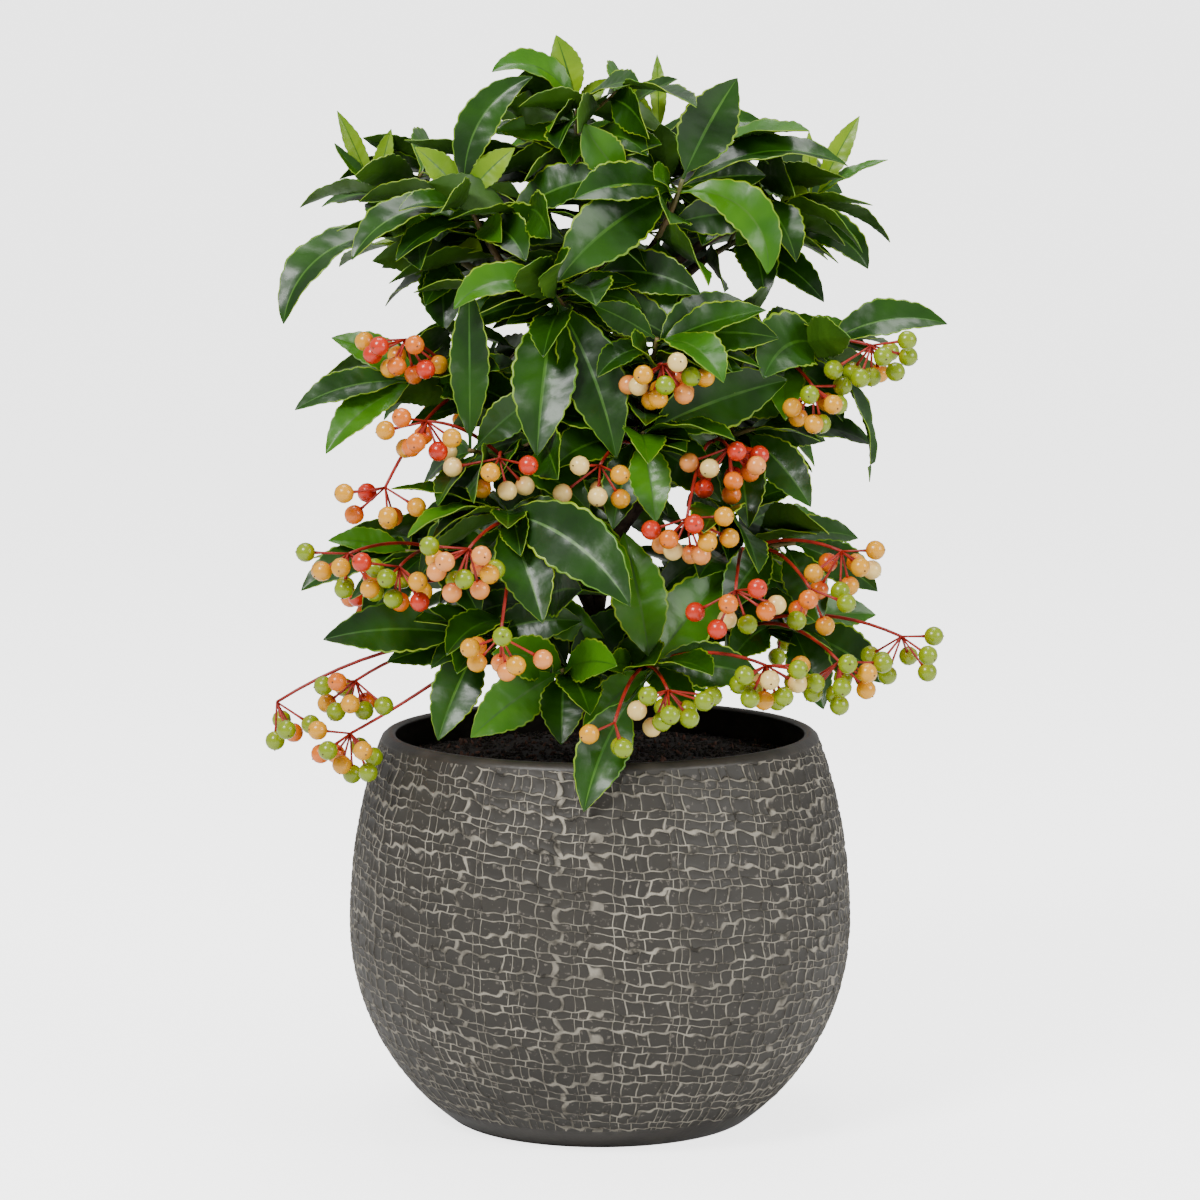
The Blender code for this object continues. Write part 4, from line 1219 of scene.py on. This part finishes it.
def leaf_faces(rows, columns):
    """Faces of the two sides and of the rim, and the material of each."""
    faces, slots = [], []
    under = rows * columns
    for r in range(rows - 1):
        for c in range(columns - 1):
            a = r * columns + c
            b = a + columns
            faces.append((a, b, b + 1, a + 1))
            slots.append(MIDRIB if c == MIDRIB_COLUMN else MARGIN if c in (0, columns - 2) else BLADE)
            faces.append((under + a, under + a + 1, under + b + 1, under + b))
            slots.append(UNDERSIDE)
        a = r * columns
        b = a + columns
        faces.append((a, under + a, under + b, b))
        a, b = a + columns - 1, b + columns - 1
        faces.append((b, under + b, under + a, a))
        slots += [MARGIN, MARGIN]
    for c in range(columns - 1):
        faces.append((c + 1, under + c + 1, under + c, c))
        slots.append(MARGIN)
    for c in range(columns - 1):
        a = (rows - 1) * columns + c
        faces.append((a, under + a, under + a + 1, a + 1))
        slots.append(MARGIN)
    return faces, slots


def leaf_age(leaf, luck):
    """Small leaves that stand up are young, and a share of the others is fresh."""
    age = "dark"
    if leaf.length < YOUNG_LEAF and leaf.rise > YOUNG_RISE:
        age = "young"
    elif luck.random() < FRESH_SHARE:
        age = "fresh"
    if leaf.length < SMALL_LEAF and luck.random() < SMALL_YOUNG_SHARE:
        age = "young"
    return age


def make_leaves(grown):
    blades = {"dark": "leaf green", "fresh": "leaf fresh green", "young": "leaf young green"}
    rest = [mottled(f"leaf {part}") for part in ("midrib", "margin", "underside")]
    batches = {age: Batch(f"leaves_{age}", [mottled(blade), *rest]) for age, blade in blades.items()}
    luck = random.Random(AGE_SEED)
    for item in grown:
        batches[leaf_age(item.shape, luck)].add(*leaf_mesh(item.root, item.shape))
    return [piece for batch in batches.values() for piece in batch.finish()]


# Berries and their stalks

BERRY_ROUND = 12
BERRY_RINGS = 8
DIMPLE_DEPTH = 0.06
DIMPLE_WIDTH = 0.35
BLUSH_POWER = 2.5
SCAR_RADII = (0.5 * MM, 0.3 * MM)
SCAR_SEAT = 0.97
SCAR_ENDS = (-0.3 * MM, 0.35 * MM)
STALK_SEAT = 0.85
STALK_PLACES = (0, 0.35, 0.8, 1)
STALK_THICKNESS = (0.75, 0.8, 0.9, 1.3)
PEDUNCLE_ROWS = 12
PEDUNCLE_TIP_SHARE = 0.75
TINT_SEED = 8

# The colours in the trusses of each branch
TRUSS_MIXES = {
    "right": ("lime", "lime", "lime", "gold", "lime"),
    "front_right": ("peach", "lime", "cream", "gold", "lime"),
    "front_right_low": ("cream", "gold", "cream"),
    "right_mid": ("coral", "gold", "cream", "amber", "peach"),
    "right_low": ("amber", "coral", "gold", "lime", "cream"),
    "side_right": ("lime", "lime", "lime", "gold", "lime"),
    "low_right": ("lime", "lime", "lime", "gold", "lime", "cream"),
    "left_shoot": ("amber", "gold", "coral", "cream"),
    "left_mid": ("coral", "amber", "gold"),
    "front_left": ("gold", "lime", "peach", "gold"),
    "left_low": ("lime", "gold", "amber", "lime", "coral"),
    "low_left": ("gold", "lime", "peach", "lime", "amber"),
}
COMMON_MIX = ("gold", "lime", "amber", "peach", "coral")


def berry_mesh(centre, umbel):
    """A round berry with a dimple at its stalk, and how much of the stalk's blush each point has."""
    axis = (centre - umbel).normalized()
    side, other = across(axis)
    rings, near = [], []
    for i in range(BERRY_RINGS + 1):
        tilt = math.pi * i / BERRY_RINGS
        reach = BERRY_RADIUS * (1 - DIMPLE_DEPTH * math.exp(-((tilt / DIMPLE_WIDTH) ** 2)))
        count = 1 if i in (0, BERRY_RINGS) else BERRY_ROUND
        out = [spun(side, other, a) * math.sin(tilt) for a in full_turn(count)]
        rings.append([centre + (way - axis * math.cos(tilt)) * reach for way in out])
        near += [max(0.0, math.cos(tilt)) ** BLUSH_POWER] * count
    points, faces = lofted(rings)
    return points, faces, near


def make_fruit(grown):
    tints = list(BERRY_TINTS)
    scar = len(tints)
    berries = Batch("berries", [*(berry_material(tint) for tint in tints), mottled("flower scar")])
    stalks = Batch("berry_stalks", [mottled("red stalk")])
    luck = random.Random(TINT_SEED)
    for item in grown:
        if item.kind == "peduncle":
            radii = steps(PEDUNCLE_RADIUS, PEDUNCLE_RADIUS * PEDUNCLE_TIP_SHARE, PEDUNCLE_ROWS)
            stalks.add_tube(stretch(item.shape, 0, 1, PEDUNCLE_ROWS), radii, TWIG_ROUND)
            continue
        points, faces, near = berry_mesh(item.shape, item.root)
        tint = luck.choice(TRUSS_MIXES.get(item.owner, COMMON_MIX))
        berries.add([tuple(p) for p in points], faces, tints.index(tint), near)
        way = (item.shape - item.root).normalized()
        tip = item.shape + way * BERRY_RADIUS * SCAR_SEAT
        berries.add_tube([tip + way * end for end in SCAR_ENDS], SCAR_RADII, TWIG_ROUND, scar)
        seat = item.shape - way * BERRY_RADIUS * STALK_SEAT
        radii = [PEDICEL_RADIUS * share for share in STALK_THICKNESS]
        stalks.add_tube([item.root.lerp(seat, share) for share in STALK_PLACES], radii, TWIG_ROUND)
    return berries.finish(), stalks.finish()


# The trunk, the boughs and the shoots

BARK_SWELL = (-0.05, 0.07)
BARK_RELIEF = 0.12 * MM
TRUNK_ROWS = 60
BOUGH_ROWS = 24
SHOOT_ROWS = 14
SHOOT_THICKNESS = 0.9
TWIG_ROWS = 8
TWIG_END_SHARE = 0.7
BARK_SEED = 12


def rough_tube(batch, path, radii, luck):
    """A limb whose rings swell and pinch a little, as bark does."""
    radii = [radius * (1 + luck.uniform(*BARK_SWELL)) for radius in radii]
    points, faces = tube(path, radii, LIMB_SIDES)
    points = [p + Vector([luck.uniform(-1, 1) for _ in range(3)]) * BARK_RELIEF for p in points]
    batch.add([tuple(p) for p in points], faces, 0)


def make_limbs(curves, grown):
    limbs = Batch("trunk_and_boughs", [mottled("bark")])
    shoots = Batch("shoots", [mottled("green shoot")])
    luck = random.Random(BARK_SEED)
    path = trunk_path(steps(0, 1, TRUNK_ROWS))
    rough_tube(limbs, path, trunk_radii(path), luck)
    shoot_foot = BOUGH_TIP_RADIUS * SHOOT_THICKNESS
    shoot_radii = steps(shoot_foot, shoot_foot + SHOOT_RADIUS - BOUGH_TIP_RADIUS, SHOOT_ROWS)
    bough_radii = steps(BOUGH_RADIUS, BOUGH_TIP_RADIUS, BOUGH_ROWS)
    for branch in BRANCHES:
        curve = curves[branch.name]
        on_trunk = branch is BRANCHES[0]
        if not on_trunk:
            rough_tube(limbs, stretch(curve, 0, BOUGH_SHARE, BOUGH_ROWS), bough_radii, luck)
        start = 0 if on_trunk else BOUGH_SHARE
        shoots.add_tube(stretch(curve, start, 1, SHOOT_ROWS), shoot_radii, SHOOT_SIDES)
    twig_radii = steps(TWIG_RADIUS, TWIG_RADIUS * TWIG_END_SHARE, TWIG_ROWS)
    for item in grown:
        if item.kind == "twig":
            shoots.add_tube(stretch(item.shape, 0, 1, TWIG_ROWS), twig_radii, TWIG_ROUND)
    return limbs.finish(), shoots.finish()


# The pot, whose pattern is measured in millimetres

TILE_WIDTH = 7.6
TILE_HEIGHT = 5.1
TILE_OFFSET = 0.43
TILE_SQUASH = 0.8
TILE_SWIRL = 45.9
TILE_STRETCH = 1.08
LINE_WIDTH = 0.62
LINE_FOOT = 1.6
LINE_RELIEF = 0.6 * MM
RELIEF_SINK = 0.3 * MM
FOOT_BAND = 10 * MM
RIM_MARGIN = 1.5 * MM
POT_ROUND = 600
POT_ROWS = 150
FOOT_INSET = 1.2 * MM
FOOT_LIFT = 0.3 * MM
UNDERSIDE_POINTS = 2
POLE = 0.001 * MM
LIP_ROWS = 8
INSIDE_DROPS = (0, 5 * MM, 10 * MM)
INSIDE_BELOW_SOIL = 6 * MM

# Waves in the pattern: the height of each, how it runs with the turn and with the height, and its start
ACROSS_WAVES = ((1.9, 31, 0, 0), (1.5, 47, 0, 0.9), (0.7, 5, 0.4, 0))
UP_WAVES = ((1.1, 6, 0.05, 0), (0.5, 21, 0, 1.7), (1.2, 2, 0.47, 0))
RIPPLE, RIPPLE_ACROSS, RIPPLE_UP = 0.5, 0.62, 0.6


def waver(waves, turn, v):
    """How far the waves shift a point of the pattern."""
    return sum(size * math.sin(turn * around + v * up + start) for size, around, up, start in waves)


def tile_place(turn, height):
    """Where a point of the pot lies in the pattern: rows that swirl and waver."""
    u = turn * BELLY_RADIUS / MM
    v = height / MM * TILE_STRETCH + TILE_SWIRL * turn / (2 * math.pi)
    ripple = RIPPLE * math.sin(u * RIPPLE_ACROSS + v * RIPPLE_UP)
    return u + waver(ACROSS_WAVES, turn, v), v + waver(UP_WAVES, turn, v) + ripple


def line_height(u, v):
    """How far the raised line between tiles stands up here, from 0 to 1."""
    row = math.floor(v / TILE_HEIGHT)
    width = TILE_WIDTH * (TILE_SQUASH if row % 2 == 0 else 1)
    shift = 0 if row % 2 else width * TILE_OFFSET
    x = (u + shift) % width
    y = v - row * TILE_HEIGHT
    near = min(x, y, width - x, TILE_HEIGHT - y)
    return max(0.0, 1 - near / (LINE_WIDTH * LINE_FOOT))


def fine_pot_profile():
    """The pot's outline from the middle of its underside, up its wall and over its lip to below the soil."""
    rim = outer_radius(POT_HEIGHT)
    top = POT_HEIGHT - LIP_ROUND
    profile = [(POLE, 0), (outer_radius(0) - FOOT_INSET, 0)]
    for height in (top * i / POT_ROWS for i in range(POT_ROWS + 1)):
        profile.append((outer_radius(height), max(height, FOOT_LIFT)))
    lip = POT_WALL / 2
    for angle in (math.pi * i / LIP_ROWS for i in range(1, LIP_ROWS)):
        profile.append((rim - lip + lip * math.cos(angle), top + LIP_ROUND * math.sin(angle)))
    inside = [top - drop for drop in INSIDE_DROPS] + [SOIL_TOP - INSIDE_BELOW_SOIL]
    return profile + [(outer_radius(z) - POT_WALL, z) for z in inside]


def make_pot():
    """The pot's outer wall with its relief, its lip, and its smooth inside down to the soil."""
    profile = fine_pot_profile()
    relief_top = POT_HEIGHT - LIP_ROUND - RIM_MARGIN
    points, faces, slots, places = [], [], [], []
    for k, (radius, height) in enumerate(profile):
        on_wall = UNDERSIDE_POINTS <= k < UNDERSIDE_POINTS + POT_ROWS
        textured = on_wall and FOOT_BAND < height < relief_top
        for j in range(POT_ROUND):
            turn = 2 * math.pi * j / POT_ROUND
            u, v = tile_place(turn, height)
            out = radius + (line_height(u, v) * LINE_RELIEF - RELIEF_SINK if textured else 0)
            angle = turn + math.pi / 2
            points.append((out * math.cos(angle), out * math.sin(angle), height))
            places.append((u, v))
    for k in range(len(profile) - 1):
        plain = profile[k][1] < FOOT_BAND or not UNDERSIDE_POINTS <= k <= POT_ROWS
        low, high = k * POT_ROUND, (k + 1) * POT_ROUND
        for j in range(POT_ROUND):
            n = (j + 1) % POT_ROUND
            faces.append((low + j, low + n, high + n, high + j))
            slots.append(int(plain))
    mesh = bpy.data.meshes.new("textured_pot")
    mesh.from_pydata(points, [], faces)
    mesh.materials.append(glaze_material())
    mesh.materials.append(mottled("smooth clay"))
    mesh.polygons.foreach_set("material_index", slots)
    layer = mesh.uv_layers.new(name="tiles")
    seam = tile_place(2 * math.pi, 0)[0] - tile_place(0, 0)[0]
    for face in mesh.polygons:
        last_column = face.index % POT_ROUND == POT_ROUND - 1
        for corner in face.loop_indices:
            vertex = mesh.loops[corner].vertex_index
            u, v = places[vertex]
            if last_column and vertex % POT_ROUND == 0:
                u, v = u + seam, v + TILE_SWIRL
            layer.data[corner].uv = (u, v)
    mesh.shade_smooth()
    return stand("textured_pot", mesh)


# The soil

BED_RINGS = 16
BED_SIDES = 64
BED_CLEAR = 1.5 * MM
BED_DROP = 1 * MM
BED_LIFT = (-0.6, 0.6)
BED_DEPTH = 6 * MM
BED_SEED = 16
SCATTER_CLEAR = 4 * MM

# How many lie on a square metre, the half sizes of the smallest and the largest, and the seed
CRUMBS = (90000, (0.6 * MM, 0.6 * MM, 0.5 * MM), (1.7 * MM, 1.4 * MM, 1.1 * MM), 3)
CHIPS = (14000, (0.6 * MM, 0.6 * MM, 0.5 * MM), (3.2 * MM, 1.3 * MM, 1.1 * MM), 5)


def crumb_tree():
    """A node tree that scatters rough crumbs over a surface."""
    tree = bpy.data.node_groups.new("scattered crumbs", "GeometryNodeTree")
    sockets = (
        ("Geometry", "INPUT", "NodeSocketGeometry"),
        ("Density", "INPUT", "NodeSocketFloat"),
        ("Smallest", "INPUT", "NodeSocketVector"),
        ("Largest", "INPUT", "NodeSocketVector"),
        ("Seed", "INPUT", "NodeSocketInt"),
        ("Material", "INPUT", "NodeSocketMaterial"),
        ("Geometry", "OUTPUT", "NodeSocketGeometry"),
    )
    add_sockets(tree, sockets)
    nodes, links = tree.nodes, tree.links
    given = nodes.new("NodeGroupInput").outputs
    spread = nodes.new("GeometryNodeDistributePointsOnFaces")
    crumb = nodes.new("GeometryNodeMeshIcoSphere")
    set_inputs(crumb, {"Radius": 1, "Subdivisions": 1})
    size = nodes.new("FunctionNodeRandomValue")
    turn = nodes.new("FunctionNodeRandomValue")
    for node in (size, turn):
        node.data_type = "FLOAT_VECTOR"
    turn.inputs[1].default_value = (2 * math.pi,) * 3
    placed = nodes.new("GeometryNodeInstanceOnPoints")
    real = nodes.new("GeometryNodeRealizeInstances")
    finish = nodes.new("GeometryNodeSetMaterial")
    result = nodes.new("NodeGroupOutput")
    pairs = (
        (given["Geometry"], spread.inputs["Mesh"]),
        (given["Density"], spread.inputs["Density"]),
        (given["Smallest"], size.inputs[0]),
        (given["Largest"], size.inputs[1]),
        (given["Seed"], spread.inputs["Seed"]),
        (given["Seed"], size.inputs["Seed"]),
        (given["Seed"], turn.inputs["Seed"]),
        (spread.outputs["Points"], placed.inputs["Points"]),
        (crumb.outputs["Mesh"], placed.inputs["Instance"]),
        (turn.outputs[0], placed.inputs["Rotation"]),
        (size.outputs[0], placed.inputs["Scale"]),
        (placed.outputs["Instances"], real.inputs["Geometry"]),
        (real.outputs["Geometry"], finish.inputs["Geometry"]),
        (given["Material"], finish.inputs["Material"]),
        (finish.outputs["Geometry"], result.inputs["Geometry"]),
    )
    for start, end in pairs:
        links.new(start, end)
    return tree


def scattered(name, tree, density, smallest, largest, seed, material):
    """Crumbs over the soil's disc, as a plain mesh."""
    reach = outer_radius(SOIL_TOP) - POT_WALL - SCATTER_CLEAR
    ground = bmesh.new()
    bmesh.ops.create_circle(ground, cap_ends=True, radius=reach, segments=BED_SIDES)
    bmesh.ops.translate(ground, vec=(0, 0, SOIL_TOP - BED_DROP), verts=ground.verts)
    mesh = bpy.data.meshes.new(name)
    ground.to_mesh(mesh)
    ground.free()
    made = stand(name, mesh)
    modifier = made.modifiers.new("crumbs", "NODES")
    modifier.node_group = tree
    values = {
        "Density": density,
        "Smallest": smallest,
        "Largest": largest,
        "Seed": seed,
        "Material": material,
    }
    for item in tree.interface.items_tree:
        if item.in_out == "INPUT" and item.name in values:
            modifier[item.identifier] = values[item.name]
    evaluated = made.evaluated_get(bpy.context.evaluated_depsgraph_get())
    plain = bpy.data.meshes.new_from_object(evaluated)
    made.modifiers.clear()
    made.data = plain
    return made


def make_soil():
    """Crumbs and chips of bark over a rough bed."""
    earth = mottled("potting soil")
    luck = random.Random(BED_SEED)
    reach = outer_radius(SOIL_TOP) - POT_WALL - BED_CLEAR
    level = SOIL_TOP - BED_DROP
    bed = []
    for ring in range(BED_RINGS):
        radius = reach * (BED_RINGS - ring) / BED_RINGS
        lifts = [luck.uniform(*BED_LIFT) * MM for _ in range(BED_SIDES)]
        pairs = zip(full_turn(BED_SIDES), lifts)
        bed.append([Vector((radius * math.cos(a), radius * math.sin(a), level + up)) for a, up in pairs])
    bed.append([Vector((0, 0, level))])
    bed.insert(0, [p - UP * BED_DEPTH for p in bed[0]])
    batch = Batch("soil_bed", [earth])
    points, faces = lofted(bed)
    batch.add([tuple(p) for p in points], faces, 0)
    tree = crumb_tree()
    crumbs = scattered("soil_crumbs", tree, *CRUMBS, earth)
    chips = scattered("bark_chips", tree, *CHIPS, mottled("bark chip"))
    return [*batch.finish(), crumbs, chips]


# The camera, the light and the floor

CAMERA_PLACE = (0, -1.8, 0.4429)
CAMERA_AIM = (0, 0, 0.2284)
CAMERA_LENS = 124.5
WHITE = (1, 1, 1, 1)
SKY_LIGHT = 0.5
BACKDROP_LIGHT = 3.2
FLOOR_REACH = 80
PAPER_SHADE = 0.93
PAPER_ROUGHNESS = 0.9
LIGHT_AIM = (0, 0, 0.22)

# Each light's name, place, size in metres and power in watts
LIGHTS = (
    ("key light", (-0.9, -1.3, 1.6), 0.6, 40),
    ("side light", (1.4, -0.9, 0.9), 0.8, 18),
    ("top light", (0, 0.4, 1.9), 0.9, 20),
)


def aim(made, place, target):
    """Puts a camera or a light at its place and points it at the target."""
    made.location = place
    made.rotation_euler = (Vector(target) - Vector(place)).to_track_quat("-Z", "Y").to_euler()


def seen_or_lighting(nodes, links, seen, lighting):
    """One value where the camera sees the surface itself, and another for the light that it sends out."""
    camera_ray = nodes.new("ShaderNodeLightPath").outputs["Is Camera Ray"]
    return ramp(nodes, links, camera_ray, 0, 1, (lighting, seen))


def set_stage():
    camera = stand("camera", bpy.data.cameras.new("camera"))
    camera.data.lens = CAMERA_LENS
    aim(camera, CAMERA_PLACE, CAMERA_AIM)
    bpy.context.scene.camera = camera
    for name, place, size, power in LIGHTS:
        light = bpy.data.lights.new(name, "AREA")
        light.energy = power
        light.size = size
        aim(stand(name, light), place, LIGHT_AIM)
    world = bpy.data.worlds.new("studio")
    world.use_nodes = True
    nodes, links = world.node_tree.nodes, world.node_tree.links
    background = nodes["Background"]
    background.inputs["Color"].default_value = WHITE
    links.new(seen_or_lighting(nodes, links, BACKDROP_LIGHT, SKY_LIGHT), background.inputs["Strength"])
    bpy.context.scene.world = world
    reach = FLOOR_REACH
    corners_of_floor = [(-reach, -reach, 0), (reach, -reach, 0), (reach, reach, 0), (-reach, reach, 0)]
    mesh = bpy.data.meshes.new("floor")
    mesh.from_pydata(corners_of_floor, [], [(0, 1, 2, 3)])
    paper, nodes, links, shader = new_material("white paper", PAPER_ROUGHNESS)
    set_inputs(shader, {"Base Color": (*[PAPER_SHADE] * 3, 1), "Emission Color": WHITE})
    glow = seen_or_lighting(nodes, links, BACKDROP_LIGHT - SKY_LIGHT * PAPER_SHADE, 0)
    links.new(glow, shader.inputs["Emission Strength"])
    mesh.materials.append(paper)
    floor = stand("floor", mesh)


BOX_SPARE = 0.015


def within(box, centre, radius):
    """Whether a ball lies in the box, or at most a little outside it."""
    spare = BOX_SPARE * max(high - low for low, high in zip(*box))
    return all(low - spare < c - radius and c + radius < high + spare for low, high, c in zip(*box, centre))


def main():
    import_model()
    solids_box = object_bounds()
    set_stage()
    masses = [branch.name for branch in BRANCHES]
    boughs = [branch.name + "_bough" for branch in BRANCHES[1:]]
    curves, grown = grow_plant()
    grown = [g for g in grown if g.kind != "berry" or within(solids_box, g.shape, BERRY_RADIUS)]
    leaves = make_leaves([g for g in grown if g.kind == "leaf"])
    berries, stalks = make_fruit([g for g in grown if g.kind in ("berry", "peduncle")])
    limbs, shoots = make_limbs(curves, grown)
    pot = make_pot()
    soil = make_soil()
    for piece in [*leaves, *berries, *stalks, *shoots]:
        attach(piece, "root")
    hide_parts(*masses)
    for piece in limbs:
        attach(piece, "root")
    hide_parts("trunk", *boughs)
    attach(pot, "root")
    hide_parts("pot")
    for piece in soil:
        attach(piece, "root")
    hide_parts("soil")


main()
